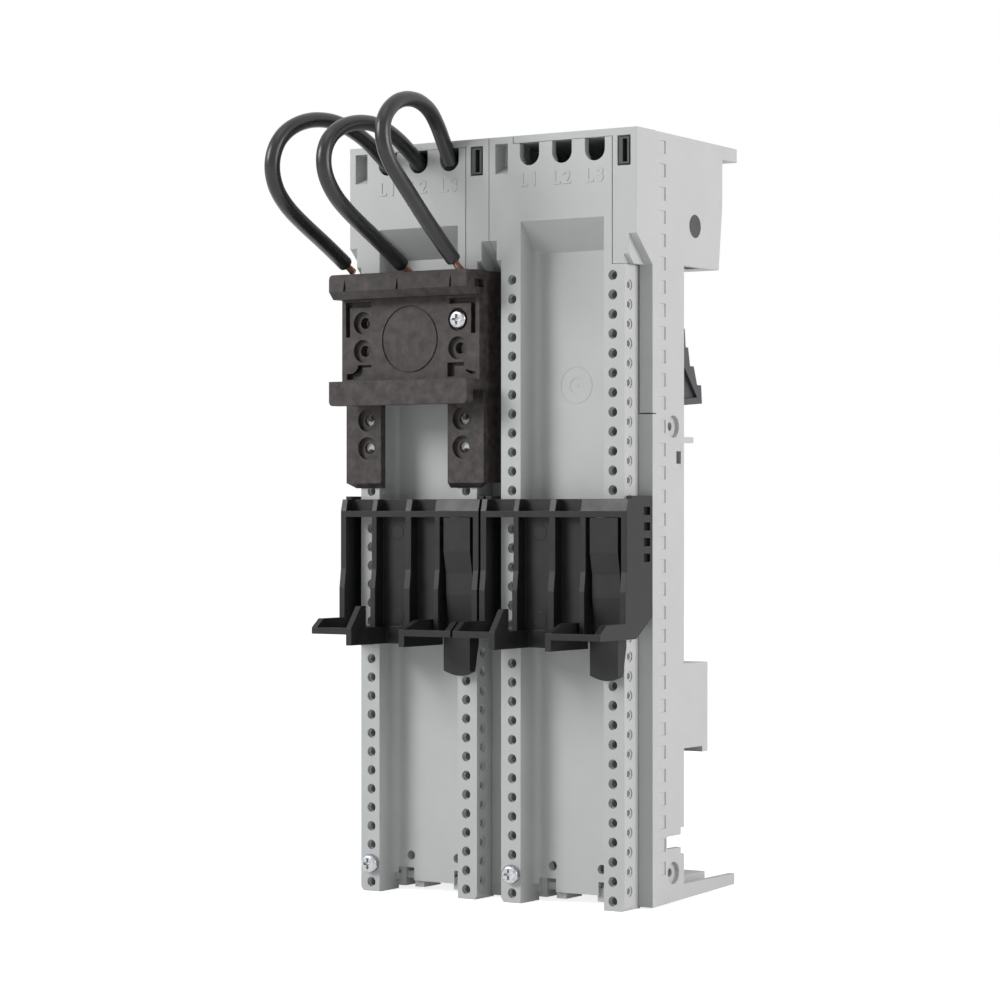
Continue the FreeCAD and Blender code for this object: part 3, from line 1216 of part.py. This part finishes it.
def carrier_tongue():
    """The carrier's spring tongue: stepped arm, peg for a strip hole, thumb tab below the shelf."""
    root = CARRIER_TOP - CARRIER_BAND - CARRIER_TONGUE_GAP
    front = -CARRIER_TONGUE_FRONT
    back = -CARRIER_TONGUE_BACK
    middle = front + CARRIER_TONGUE_STEP
    waist = middle + CARRIER_TONGUE_STEP
    steps = [CARRIER_TOP - drop for drop in CARRIER_TONGUE_DROPS]
    tab_top = CARRIER_TOP - CARRIER_TAB_DROP
    bottom = CARRIER_TOP - CARRIER_TONGUE_LENGTH
    outline = [
        (front, root - CARRIER_TONGUE_EDGE), (front, steps[0]), (middle, steps[1]), (middle, steps[2]),
        (waist, steps[3]), (waist, tab_top + CARRIER_TONGUE_STEP), (front, tab_top),
        (front, bottom + CARRIER_TAB_CORNER), (front + CARRIER_TAB_CORNER, bottom), (waist, bottom),
        (back, tab_top - CARRIER_TAB_SLOPE), (back, steps[2]), (middle + CARRIER_TONGUE_THICKNESS, steps[1]),
        (front + CARRIER_TONGUE_THICKNESS, steps[0]), (front + CARRIER_TONGUE_THICKNESS, root),
        (front + CARRIER_TONGUE_EDGE, root),
    ]
    arm = prism_x(outline, TONGUE_LEFT, TONGUE_RIGHT)
    peg = rod_y(HOLE_LINE, back - PEG_RADIUS, PEG_LENGTH, PEG_HEIGHT, PEG_RADIUS)
    centre = bottom + CARRIER_TAB_ROUND
    foot = box(TONGUE_LEFT - 1, TONGUE_RIGHT + 1, front - 1, 0, bottom - 1, centre)
    tab_middle = (TONGUE_LEFT + TONGUE_RIGHT) / 2
    corners = foot.cut(rod_y(tab_middle, front - 2, 1, centre, CARRIER_TAB_ROUND))
    return fuse([arm, peg]).cut(corners)


def coupling_pins():
    """Two dowels between the modules, seated in the round recesses of both."""
    gap = (MODULE_PITCH - MODULE_WIDTH) / 2
    reach = gap + COUPLING_DEPTH - PIECE_GAP
    pins = []
    for z in COUPLING_HEIGHTS:
        pins.append(rod_x(-reach, reach, COUPLING_LINE, z, COUPLING_RADIUS - COUPLING_FIT))
    return Part.makeCompound(pins)


def front_plate_screws():
    places = (LEFT - HOLE_LINE, RIGHT - HOLE_LINE)
    return Part.makeCompound([pan_screw(x, 0, PLATE_SCREW_HEIGHT, PLATE_SCREW_LENGTH) for x in places])


def device_rail_screw():
    seat = -RAIL_LEG - RAIL_PLATE + RAIL_SINK_DEPTH
    return pan_screw(LEFT + HOLE_LINE, seat, RAIL_SCREW_HEIGHT, RAIL_SCREW_GRIP - seat)


def build():
    os.makedirs("parts", exist_ok=True)
    module_pieces = {
        "base": base(),
        "front_plate": front_plate(),
        "latch_lever": latch_lever(),
        "release_button": release_button(),
        "latch_spring": latch_spring(),
        "contactor_carrier": contactor_carrier(),
        "carrier_tongue": carrier_tongue(),
    }
    for side, x in (("left", LEFT), ("right", RIGHT)):
        for name, shape in module_pieces.items():
            export(side + "_" + name, moved(shape, x))
    for row, phase in enumerate(("l1", "l2", "l3")):
        clip_x = LEFT + NOTCH_LINES[row]
        export("contact_clip_" + phase, contact_clip(clip_x, BAR_TOPS[row]))
        export("inner_lead_" + phase, inner_lead(row))
        export("wire_" + phase, wire(row))
        export("wire_core_" + phase, wire_core(row))
    export("device_rail", moved(device_rail(), LEFT))
    export("device_rail_screw", device_rail_screw())
    export("front_plate_screws", front_plate_screws())
    export("coupling_pins", coupling_pins())


build()
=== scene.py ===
"""Studio scene for a double-width busbar adapter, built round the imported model."""
import math

import bmesh
import bpy
from mathutils import Matrix, Vector


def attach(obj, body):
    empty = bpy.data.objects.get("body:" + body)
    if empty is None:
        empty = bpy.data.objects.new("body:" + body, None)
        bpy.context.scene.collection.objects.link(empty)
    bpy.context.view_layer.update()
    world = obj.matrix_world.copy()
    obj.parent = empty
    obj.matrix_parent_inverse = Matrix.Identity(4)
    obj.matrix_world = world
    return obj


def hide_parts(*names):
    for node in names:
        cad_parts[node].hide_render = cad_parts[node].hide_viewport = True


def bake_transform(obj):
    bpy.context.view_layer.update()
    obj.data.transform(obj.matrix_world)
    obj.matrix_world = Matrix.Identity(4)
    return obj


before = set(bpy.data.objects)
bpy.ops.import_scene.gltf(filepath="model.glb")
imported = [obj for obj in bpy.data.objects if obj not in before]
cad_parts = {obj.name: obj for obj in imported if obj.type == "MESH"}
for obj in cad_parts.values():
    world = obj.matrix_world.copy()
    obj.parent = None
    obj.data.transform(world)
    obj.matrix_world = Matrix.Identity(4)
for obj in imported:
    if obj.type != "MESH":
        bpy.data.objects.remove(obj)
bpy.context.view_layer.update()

BODY = "adapter_body"
MM = 0.001
X_AXIS = Vector((1, 0, 0))
Y_AXIS = Vector((0, 1, 0))
Z_AXIS = Vector((0, 0, 1))
BODY_DEPTH = 24.3
HALF_HEIGHT = 100.0
MODULES = {"left": -22.5, "right": 22.5}
PHASES = ("l1", "l2", "l3")
NOTCH_PITCH = 9.95


def at(x, y, z):
    """Millimetres from the front face and the bottom edge to metres in the shared frame."""
    return Vector((x, y - BODY_DEPTH, z - HALF_HEIGHT)) * MM


# Materials: lengths in metres, and a noise scale of 1000 gives features of about a millimetre

NOISE_LOW = 0.3
NOISE_HIGH = 0.7
PATCH_NOISE = {"detail": 6.0, "roughness": 0.62}
GRAIN_NOISE = {"detail": 3.0, "roughness": 0.5}
STREAK_NOISE = {"detail": 5.0, "roughness": 0.6}
EDGE_SAMPLES = 4
MOULDED_EDGE = 0.0002
MOULDED_GRAIN = 0.5
MOULDED_GLOSS = (-0.05, 0.06)
METAL_EDGE = 0.0001
METAL_GRAIN = 0.2
METAL_GRAIN_DEPTH = 0.00002
METAL_GLOSS = (-0.06, 0.1)


def shader_of(name):
    """A new material, its node tree and its shader."""
    material = bpy.data.materials.new(name)
    material.use_nodes = True
    tree = material.node_tree
    return material, tree, tree.nodes["Principled BSDF"]


def noise(tree, scale, detail, roughness):
    """Noise that is fixed to the shared frame."""
    place = tree.nodes.new("ShaderNodeTexCoord")
    texture = tree.nodes.new("ShaderNodeTexNoise")
    texture.inputs["Scale"].default_value = scale
    texture.inputs["Detail"].default_value = detail
    texture.inputs["Roughness"].default_value = roughness
    tree.links.new(place.outputs["Object"], texture.inputs["Vector"])
    return texture.outputs["Fac"]


def spread(tree, value, low, high):
    """Maps a noise value to the range from low to high."""
    node = tree.nodes.new("ShaderNodeMapRange")
    node.inputs["From Min"].default_value = NOISE_LOW
    node.inputs["From Max"].default_value = NOISE_HIGH
    node.inputs["To Min"].default_value = low
    node.inputs["To Max"].default_value = high
    tree.links.new(value, node.inputs["Value"])
    return node.outputs["Result"]


def mixed(tree, share, first, second):
    """Mixes two colours by a share."""
    node = tree.nodes.new("ShaderNodeMix")
    node.data_type = "RGBA"
    tree.links.new(share, node.inputs["Factor"])
    node.inputs["A"].default_value = (*first, 1.0)
    node.inputs["B"].default_value = (*second, 1.0)
    return node.outputs["Result"]


def grain(tree, shader, height, strength, distance, edge):
    """Surface grain over edges that are rounded by a small radius."""
    rounding = tree.nodes.new("ShaderNodeBevel")
    rounding.samples = EDGE_SAMPLES
    rounding.inputs["Radius"].default_value = edge
    bump = tree.nodes.new("ShaderNodeBump")
    bump.inputs["Strength"].default_value = strength
    bump.inputs["Distance"].default_value = distance
    tree.links.new(height, bump.inputs["Height"])
    tree.links.new(rounding.outputs["Normal"], bump.inputs["Normal"])
    tree.links.new(bump.outputs["Normal"], shader.inputs["Normal"])


def dress(tree, shader, value, dark, light, roughness, gloss):
    """Colour and uneven gloss that follow one noise value."""
    shade = mixed(tree, spread(tree, value, 0.0, 1.0), dark, light)
    tree.links.new(shade, shader.inputs["Base Color"])
    smooth, dull = gloss
    tree.links.new(spread(tree, value, roughness + smooth, roughness + dull), shader.inputs["Roughness"])


def moulded(
    name, colour, contrast, patch_scale, roughness, grain_scale, grain_depth, specular, edge=MOULDED_EDGE
):
    """Moulded plastic: faint flow patches, fine grain and uneven gloss."""
    material, tree, shader = shader_of(name)
    dark = tuple(channel * (1 - contrast) for channel in colour)
    light = tuple(channel * (1 + contrast) for channel in colour)
    patches = noise(tree, patch_scale, **PATCH_NOISE)
    dress(tree, shader, patches, dark, light, roughness, MOULDED_GLOSS)
    shader.inputs["Specular IOR Level"].default_value = specular
    grain(tree, shader, noise(tree, grain_scale, **GRAIN_NOISE), MOULDED_GRAIN, grain_depth, edge)
    return material


def metal(name, dark, light, roughness, streak_scale):
    """Metal with a streaky sheen."""
    material, tree, shader = shader_of(name)
    streaks = noise(tree, streak_scale, **STREAK_NOISE)
    dress(tree, shader, streaks, dark, light, roughness, METAL_GLOSS)
    shader.inputs["Metallic"].default_value = 1.0
    grain(tree, shader, streaks, METAL_GRAIN, METAL_GRAIN_DEPTH, METAL_EDGE)
    return material


HOUSING_LOOK = {
    "colour": (0.535, 0.555, 0.55), "contrast": 0.03, "patch_scale": 70.0, "roughness": 0.46,
    "grain_scale": 2600.0, "grain_depth": 0.000012, "specular": 0.35,
}
HOUSING = moulded("housing_grey", **HOUSING_LOOK, edge=0.00012)
HOUSING_FLUSH = moulded("housing_flush", **HOUSING_LOOK, edge=0.0)
RAIL = moulded(
    "rail_black", colour=(0.047, 0.038, 0.038), contrast=0.75, patch_scale=380.0, roughness=0.48,
    grain_scale=1900.0, grain_depth=0.00003, specular=0.3,
)
CARRIER = moulded(
    "carrier_black", colour=(0.0132, 0.0128, 0.0134), contrast=0.2, patch_scale=260.0, roughness=0.40,
    grain_scale=2400.0, grain_depth=0.000012, specular=0.3,
)
LATCH = moulded(
    "latch_grey", colour=(0.061, 0.061, 0.066), contrast=0.10, patch_scale=300.0, roughness=0.45,
    grain_scale=2200.0, grain_depth=0.000012, specular=0.35,
)
INSULATION = moulded(
    "lead_black", colour=(0.009, 0.009, 0.0095), contrast=0.15, patch_scale=240.0, roughness=0.31,
    grain_scale=1500.0, grain_depth=0.000006, specular=0.5, edge=0.0001,
)
COPPER = metal(
    "copper_strands", dark=(0.62, 0.30, 0.20), light=(0.90, 0.55, 0.42), roughness=0.30, streak_scale=1400.0
)
ZINC = metal(
    "screw_zinc", dark=(0.30, 0.31, 0.33), light=(0.55, 0.56, 0.58), roughness=0.28, streak_scale=1700.0
)
STEEL = metal(
    "spring_steel", dark=(0.36, 0.36, 0.38), light=(0.56, 0.56, 0.57), roughness=0.30, streak_scale=1500.0
)
TINNED = metal(
    "contact_metal", dark=(0.56, 0.54, 0.51), light=(0.64, 0.62, 0.59), roughness=0.30, streak_scale=2600.0
)

NODE_MATERIALS = {
    "base": HOUSING,
    "front_plate": HOUSING,
    "coupling_pins": HOUSING,
    "device_rail": RAIL,
    "contactor_carrier": CARRIER,
    "carrier_tongue": CARRIER,
    "latch_lever": LATCH,
    "release_button": LATCH,
    "latch_spring": STEEL,
    "contact_clip": TINNED,
    "inner_lead": INSULATION,
    "device_rail_screw": ZINC,
    "front_plate_screws": ZINC,
}


def paint(obj, material):
    """Gives an object one material."""
    obj.data.materials.clear()
    obj.data.materials.append(material)


def material_of(node):
    """The material whose key is the longest match in a node's name, if there is one."""
    keys = [key for key in NODE_MATERIALS if key in node]
    return NODE_MATERIALS[max(keys, key=len)] if keys else None


for node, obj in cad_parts.items():
    finish = material_of(node)
    if finish:
        paint(obj, finish)


# Pieces

CURVE_ORDER = 3
CURVE_STEPS = 12


def link(name, data):
    """A new object in the scene."""
    obj = bpy.data.objects.new(name, data)
    bpy.context.scene.collection.objects.link(obj)
    return obj


def add(name, data, material, matrix=Matrix()):
    """A new piece of the fixed body."""
    piece = link(name, data)
    piece.matrix_world = matrix
    paint(piece, material)
    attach(piece, BODY)
    return piece


def add_shape(name, shape, material):
    """A new piece of the fixed body from closed shapes."""
    mesh = bpy.data.meshes.new(name)
    bmesh.ops.recalc_face_normals(shape, faces=shape.faces)
    shape.to_mesh(mesh)
    shape.free()
    add(name, mesh, material)


def spline_curve(name, lines, radius, resolution):
    """Round strands along smooth lines of points."""
    curve = bpy.data.curves.new(name, "CURVE")
    curve.dimensions = "3D"
    curve.bevel_depth = radius * MM
    curve.bevel_resolution = resolution
    curve.use_fill_caps = True
    curve.resolution_u = CURVE_STEPS
    for points in lines:
        line = curve.splines.new("NURBS")
        line.points.add(len(points) - 1)
        for target, point in zip(line.points, points):
            target.co = (*point, 1.0)
        line.order_u = CURVE_ORDER
        line.use_endpoint_u = True
    return curve


# Leads: the routes' points from the notch to the end of the insulation

LEAD_DIAMETER = 4.05
LEAD_RESOLUTION = 6
LEAD_ROUTES = {
    "l1": (
        (-32.45, 1.0, 194.4), (-32.45, -5.784, 198.639), (-33.2, -13.4, 202.3), (-34.0, -21.6, 204.4),
        (-34.6, -30.2, 204.2), (-35.1, -38.4, 201.8), (-35.6, -44.4, 197.4), (-36.1, -46.6, 191.4),
        (-36.7, -44.4, 185.6), (-37.3, -39.0, 181.2), (-38.0, -31.6, 177.6), (-39.3, -16.6, 171.6),
        (-39.8, -9.4, 168.2),
    ),
    "l2": (
        (-22.5, 1.0, 194.4), (-22.5, -4.936, 198.109), (-22.5, -12.2, 201.4), (-22.4, -19.6, 203.2),
        (-22.5, -27.9, 202.9), (-22.6, -36.4, 200.4), (-22.5, -42.1, 195.4), (-22.4, -42.8, 189.0),
        (-22.4, -38.4, 183.2), (-22.5, -30.8, 178.6), (-22.5, -18.6, 172.9), (-22.4, -7.9, 167.35),
    ),
    "l3": (
        (-12.55, 1.0, 194.4), (-12.4, -2.6, 198.9), (-11.9, -6.4, 203.4), (-11.1, -11.3, 207.0),
        (-10.4, -17.8, 208.8), (-10.0, -25.0, 208.4), (-9.5, -31.2, 205.8), (-9.0, -35.6, 201.4),
        (-8.5, -36.2, 195.4), (-8.0, -33.2, 190.2), (-7.4, -27.8, 185.2), (-6.6, -18.2, 176.2),
        (-5.7, -8.3, 167.9),
    ),
}
STRAND_RADIUS = 0.17
STRAND_RESOLUTION = 1
STRAND_RINGS = ((1, 0.0), (6, 0.36), (12, 0.72))
STRAND_LENGTH = 4.8
STRAND_ROOT = 0.3
STRAND_STEPS = 4
STRAND_TWIST = 1.3
STRAND_FLARE = 0.06
STRAND_FLARES = 3


def strands(route):
    """Twisted strands that come out of the end of a lead and open a little."""
    end = Vector(route[-1])
    along = (end - Vector(route[-2])).normalized()
    side = along.cross(Z_AXIS).normalized()
    up = side.cross(along)
    lines = []
    for count, ring in STRAND_RINGS:
        for number in range(count):
            line = []
            for step in range(STRAND_STEPS + 1):
                share = step / STRAND_STEPS
                angle = 2 * math.pi * number / count + STRAND_TWIST * share
                reach = ring * (1 + STRAND_FLARE * share * (1 + number % STRAND_FLARES))
                offset = side * math.cos(angle) * reach + up * math.sin(angle) * reach
                line.append(at(*(end + along * (STRAND_LENGTH * share - STRAND_ROOT) + offset)))
            lines.append(line)
    return lines


for phase, route in LEAD_ROUTES.items():
    points = [at(*point) for point in route]
    loop = spline_curve("lead_" + phase, [points], LEAD_DIAMETER / 2, LEAD_RESOLUTION)
    lead = add("lead_" + phase, loop, INSULATION)
    bundle = spline_curve("lead_tip_" + phase, strands(route), STRAND_RADIUS, STRAND_RESOLUTION)
    tip = add("lead_tip_" + phase, bundle, COPPER)
    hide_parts("wire_" + phase)
    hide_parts("wire_core_" + phase)


# Leaf springs: a copy of each module's spring stands in place of the model's spring


def leaf_spring(module):
    """A copy of a module's spring at the original's place, with its transform baked into the mesh."""
    node = module + "_latch_spring"
    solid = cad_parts[node]
    leaf = link(module + "_leaf", solid.data.copy())
    leaf.matrix_world = solid.matrix_world.copy()
    paint(leaf, STEEL)
    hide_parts(node)
    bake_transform(leaf)


for module, middle in MODULES.items():
    leaf_spring(module)


# Raised phase marks under the notches

MARK_SIZE = 4.8
MARK_BOTTOM = 186.8
MARK_PROUD = 0.12
MARK_BOLDER = 0.09
MARK_EDGE = 0.04
MARK_SPACING = 1.32
UPRIGHT = Matrix.Rotation(math.pi / 2, 4, "X")


def phase_mark(name, text, x):
    """Raised letters on the front face."""
    curve = bpy.data.curves.new(name, "FONT")
    curve.body = text
    curve.size = MARK_SIZE * MM
    curve.align_x = "CENTER"
    curve.extrude = MARK_PROUD / 2 * MM
    curve.offset = MARK_BOLDER * MM
    curve.bevel_depth = MARK_EDGE * MM
    curve.space_character = MARK_SPACING
    place = Matrix.Translation(at(x, -MARK_PROUD / 2, MARK_BOTTOM))
    add(name, curve, HOUSING, place @ UPRIGHT)


for module, middle in MODULES.items():
    for number, phase in enumerate(PHASES):
        phase_mark(module + "_mark_" + phase, phase.upper(), middle + (number - 1) * NOTCH_PITCH)


# Ejector marks: shallow round pads that the mould leaves on the carriers' panels

PAD_RADIUS = 2.2
PAD_SLOPE = 0.15
PAD_PROUD = 0.07
PAD_ROOT = 0.05
PAD_LINE = -5.7
PAD_HEIGHTS = (96.6, 74.0)
PANEL_FRONT = -1.6
PAD_RINGS = ((PAD_RADIUS, PANEL_FRONT + PAD_ROOT), (PAD_RADIUS - PAD_SLOPE, PANEL_FRONT - PAD_PROUD))
PAD_CORNERS = 48


def ejector_marks(module, middle):
    """The two pads of one carrier, each a low frustum with its root in the panel."""
    shape = bmesh.new()
    for height in PAD_HEIGHTS:
        rings = []
        for reach, front in PAD_RINGS:
            ring = []
            for corner in range(PAD_CORNERS):
                angle = 2 * math.pi * corner / PAD_CORNERS
                x = middle + PAD_LINE + reach * math.cos(angle)
                ring.append(shape.verts.new(at(x, front, height + reach * math.sin(angle))))
            rings.append(ring)
        root, face = rings
        shape.faces.new(reversed(root))
        shape.faces.new(face)
        for corner in range(PAD_CORNERS):
            after = (corner + 1) % PAD_CORNERS
            shape.faces.new((root[corner], root[after], face[after], face[corner]))
    add_shape(module + "_ejector_marks", shape, CARRIER)


for module, middle in MODULES.items():
    ejector_marks(module, middle)


# Hole seats: collars inside the free holes, where the wide mouth ends and the core begins, and the
# stepped floors of the round recesses. Each section gives reach from the axis and depth.

HOLE_PITCH = 5.0
HOLE_LINE = 15.3
HOLE_HEIGHTS = [2.5 + HOLE_PITCH * row for row in range(33)]
TAKEN_HOLES = {"left": ((-1, 7.5), (1, 82.5), (1, 152.5)), "right": ((-1, 7.5), (1, 82.5))}
FRONT_COLLAR = ((1.31, 0.9), (1.02, 1.25), (1.31, 1.6))
STRIP_SIDE = 18.7
SIDE_HOLE_LINE = 2.7
SIDE_HOLE_HEIGHTS = [5.0 + HOLE_PITCH * row for row in range(32)]
SIDE_COLLAR = ((1.31, 0.3), (0.86, 0.42), (0.86, 1.25), (1.31, 1.25))
WALL_SIDE = 22.4
RECESS_LINE = 18.7
RECESS_HEIGHTS = (8.4, 124.1)
RECESS_FLOOR = ((2.91, 1.15), (1.1, 1.15), (1.1, 2.58), (2.91, 2.58))
COLLAR_CORNERS = 20


def collar(shape, section, place, across, up, inwards):
    """A ring with a closed section, round an axis that leads inwards."""
    loops = []
    for corner in range(COLLAR_CORNERS):
        angle = 2 * math.pi * corner / COLLAR_CORNERS
        out = across * math.cos(angle) + up * math.sin(angle)
        corners = [place + (out * reach + inwards * depth) * MM for reach, depth in section]
        loops.append([shape.verts.new(point) for point in corners])
    for corner in range(COLLAR_CORNERS):
        here = loops[corner]
        beside = loops[(corner + 1) % COLLAR_CORNERS]
        for number in range(len(section)):
            after = (number + 1) % len(section)
            shape.faces.new((here[number], beside[number], beside[after], here[after]))


def hole_seats(module, middle):
    """The collars of one front plate's free holes, on the front and on the strips' outer sides."""
    shape = bmesh.new()
    for side in (-1, 1):
        for height in HOLE_HEIGHTS:
            if (side, height) not in TAKEN_HOLES[module]:
                place = at(middle + side * HOLE_LINE, 0.0, height)
                collar(shape, FRONT_COLLAR, place, X_AXIS, Z_AXIS, Y_AXIS)
        for height in SIDE_HOLE_HEIGHTS:
            place = at(middle + side * STRIP_SIDE, SIDE_HOLE_LINE, height)
            collar(shape, SIDE_COLLAR, place, Y_AXIS, Z_AXIS, -side * X_AXIS)
    add_shape(module + "_hole_seats", shape, HOUSING)


def recess_floors(module, side):
    """The stepped floors of the round recesses in a module's outer wall."""
    shape = bmesh.new()
    for height in RECESS_HEIGHTS:
        place = at(MODULES[module] + side * WALL_SIDE, RECESS_LINE, height)
        collar(shape, RECESS_FLOOR, place, Y_AXIS, Z_AXIS, -side * X_AXIS)
    add_shape(module + "_recess_floors", shape, HOUSING)


for module, middle in MODULES.items():
    hole_seats(module, middle)
recess_floors("left", -1)
recess_floors("right", 1)


# Lower lip of each channel's floor, with two ribs and two feet behind it. Spans are measured from
# the module's middle. The lip covers the floor's edge, so its material leaves edges sharp.

LIP_SPANS = ((-12.7, -11.5), (-6.5, 6.5), (11.5, 12.7))
LIP_DEPTHS = (7.49, 9.1)
LIP_HEIGHTS = (2.65, 5.0)
RIB_SPANS = ((-6.9, -4.0), (5.6, 8.5))
RIB_DEPTHS = (8.6, 16.5)
RIB_HEIGHTS = (0.9, 4.4)
FOOT_SPANS = ((-12.7, -9.8), (9.8, 12.7))
FOOT_DEPTHS = (8.4, 16.5)
FOOT_HEIGHTS = (1.0, 6.0)
LIP_BLOCKS = (
    (LIP_SPANS, LIP_DEPTHS, LIP_HEIGHTS),
    (RIB_SPANS, RIB_DEPTHS, RIB_HEIGHTS),
    (FOOT_SPANS, FOOT_DEPTHS, FOOT_HEIGHTS),
)
BLOCK_FACES = ((0, 1, 3, 2), (4, 6, 7, 5), (0, 4, 5, 1), (2, 3, 7, 6), (0, 2, 6, 4), (1, 5, 7, 3))


def block(shape, middle, span, depths, heights):
    """A closed box."""
    corners = [shape.verts.new(at(middle + x, y, z)) for x in span for y in depths for z in heights]
    for face in BLOCK_FACES:
        shape.faces.new([corners[number] for number in face])


def channel_lip(module, middle):
    """The lip, ribs and feet of one module."""
    shape = bmesh.new()
    for spans, depths, heights in LIP_BLOCKS:
        for span in spans:
            block(shape, middle, span, depths, heights)
    add_shape(module + "_channel_lip", shape, HOUSING_FLUSH)


for module, middle in MODULES.items():
    channel_lip(module, middle)


# Studio: floor, lights and camera, in metres

WHITE = (1.0, 1.0, 1.0)
FLOOR_SIZE = 6.0
FLOOR_COLOUR = (0.7, 0.7, 0.7)
FLOOR_ROUGHNESS = 0.9
FLOOR_SPECULAR = 0.1
FLOOR_GLOW = 0.82
BACKGROUND = 1.0
AMBIENT = 0.27
CAMERA_PLACE = Vector((433.207, -684.586, 2.678)) * MM
CAMERA_TURN = math.radians(33.059)
CAMERA_TILT = math.radians(0.174)
CAMERA_LENS = 108.43
CAMERA_SENSOR = 36.0


def camera_only(tree, strength):
    """A strength that only the camera, mirror and glass rays see."""
    path = tree.nodes.new("ShaderNodeLightPath")
    total = path.outputs["Is Camera Ray"]
    for ray in ("Is Glossy Ray", "Is Transmission Ray"):
        both = tree.nodes.new("ShaderNodeMath")
        both.operation = "MAXIMUM"
        tree.links.new(total, both.inputs[0])
        tree.links.new(path.outputs[ray], both.inputs[1])
        total = both.outputs[0]
    scaled = tree.nodes.new("ShaderNodeMath")
    scaled.operation = "MULTIPLY"
    scaled.inputs[1].default_value = strength
    tree.links.new(total, scaled.inputs[0])
    return scaled.outputs[0]


def make_floor():
    """A wide floor at the part's lower end that looks white to the camera."""
    mesh = bpy.data.meshes.new("floor")
    half = FLOOR_SIZE / 2
    low = -HALF_HEIGHT * MM
    corners = [(-half, -half, low), (half, -half, low), (half, half, low), (-half, half, low)]
    mesh.from_pydata(corners, [], [(0, 1, 2, 3)])
    floor = link("floor", mesh)
    material, tree, shader = shader_of("floor_white")
    shader.inputs["Base Color"].default_value = (*FLOOR_COLOUR, 1.0)
    shader.inputs["Roughness"].default_value = FLOOR_ROUGHNESS
    shader.inputs["Specular IOR Level"].default_value = FLOOR_SPECULAR
    shader.inputs["Emission Color"].default_value = (*WHITE, 1.0)
    tree.links.new(camera_only(tree, FLOOR_GLOW), shader.inputs["Emission Strength"])
    paint(floor, material)


def make_world():
    """A white background that lights the part only by the ambient share."""
    world = bpy.data.worlds.new("studio")
    bpy.context.scene.world = world
    world.use_nodes = True
    tree = world.node_tree
    background = tree.nodes["Background"]
    background.inputs["Color"].default_value = (*WHITE, 1.0)
    more = tree.nodes.new("ShaderNodeMath")
    more.operation = "ADD"
    more.inputs[1].default_value = AMBIENT
    tree.links.new(camera_only(tree, BACKGROUND - AMBIENT), more.inputs[0])
    tree.links.new(more.outputs[0], background.inputs["Strength"])


def make_light(name, place, size, power, colour=WHITE):
    """A round area light that faces the part."""
    light = bpy.data.lights.new(name, "AREA")
    light.shape = "DISK"
    light.size = size
    light.energy = power
    light.color = colour
    lamp = link(name, light)
    lamp.location = place
    lamp.rotation_euler = (-Vector(place)).to_track_quat("-Z", "Y").to_euler()


def make_camera():
    """The camera that was found from the strips' hole pitch and the outline."""
    camera = bpy.data.cameras.new("camera")
    camera.sensor_width = CAMERA_SENSOR
    camera.lens = CAMERA_LENS
    eye = link("camera", camera)
    eye.location = CAMERA_PLACE
    level = math.cos(CAMERA_TILT)
    ahead = Vector((-math.sin(CAMERA_TURN) * level, math.cos(CAMERA_TURN) * level, math.sin(CAMERA_TILT)))
    eye.rotation_euler = ahead.to_track_quat("-Z", "Y").to_euler()
    bpy.context.scene.camera = eye


make_floor()
make_world()
make_light("key", place=(-0.85, -1.1, 0.7), size=0.7, power=15.0)
make_light("side", place=(1.2, 0.15, 0.3), size=0.8, power=9.9, colour=(1.0, 0.955, 0.96))
make_light("top", place=(0.1, -0.35, 1.3), size=0.8, power=2.0)
make_camera()
bpy.context.scene.view_settings.view_transform = "Standard"
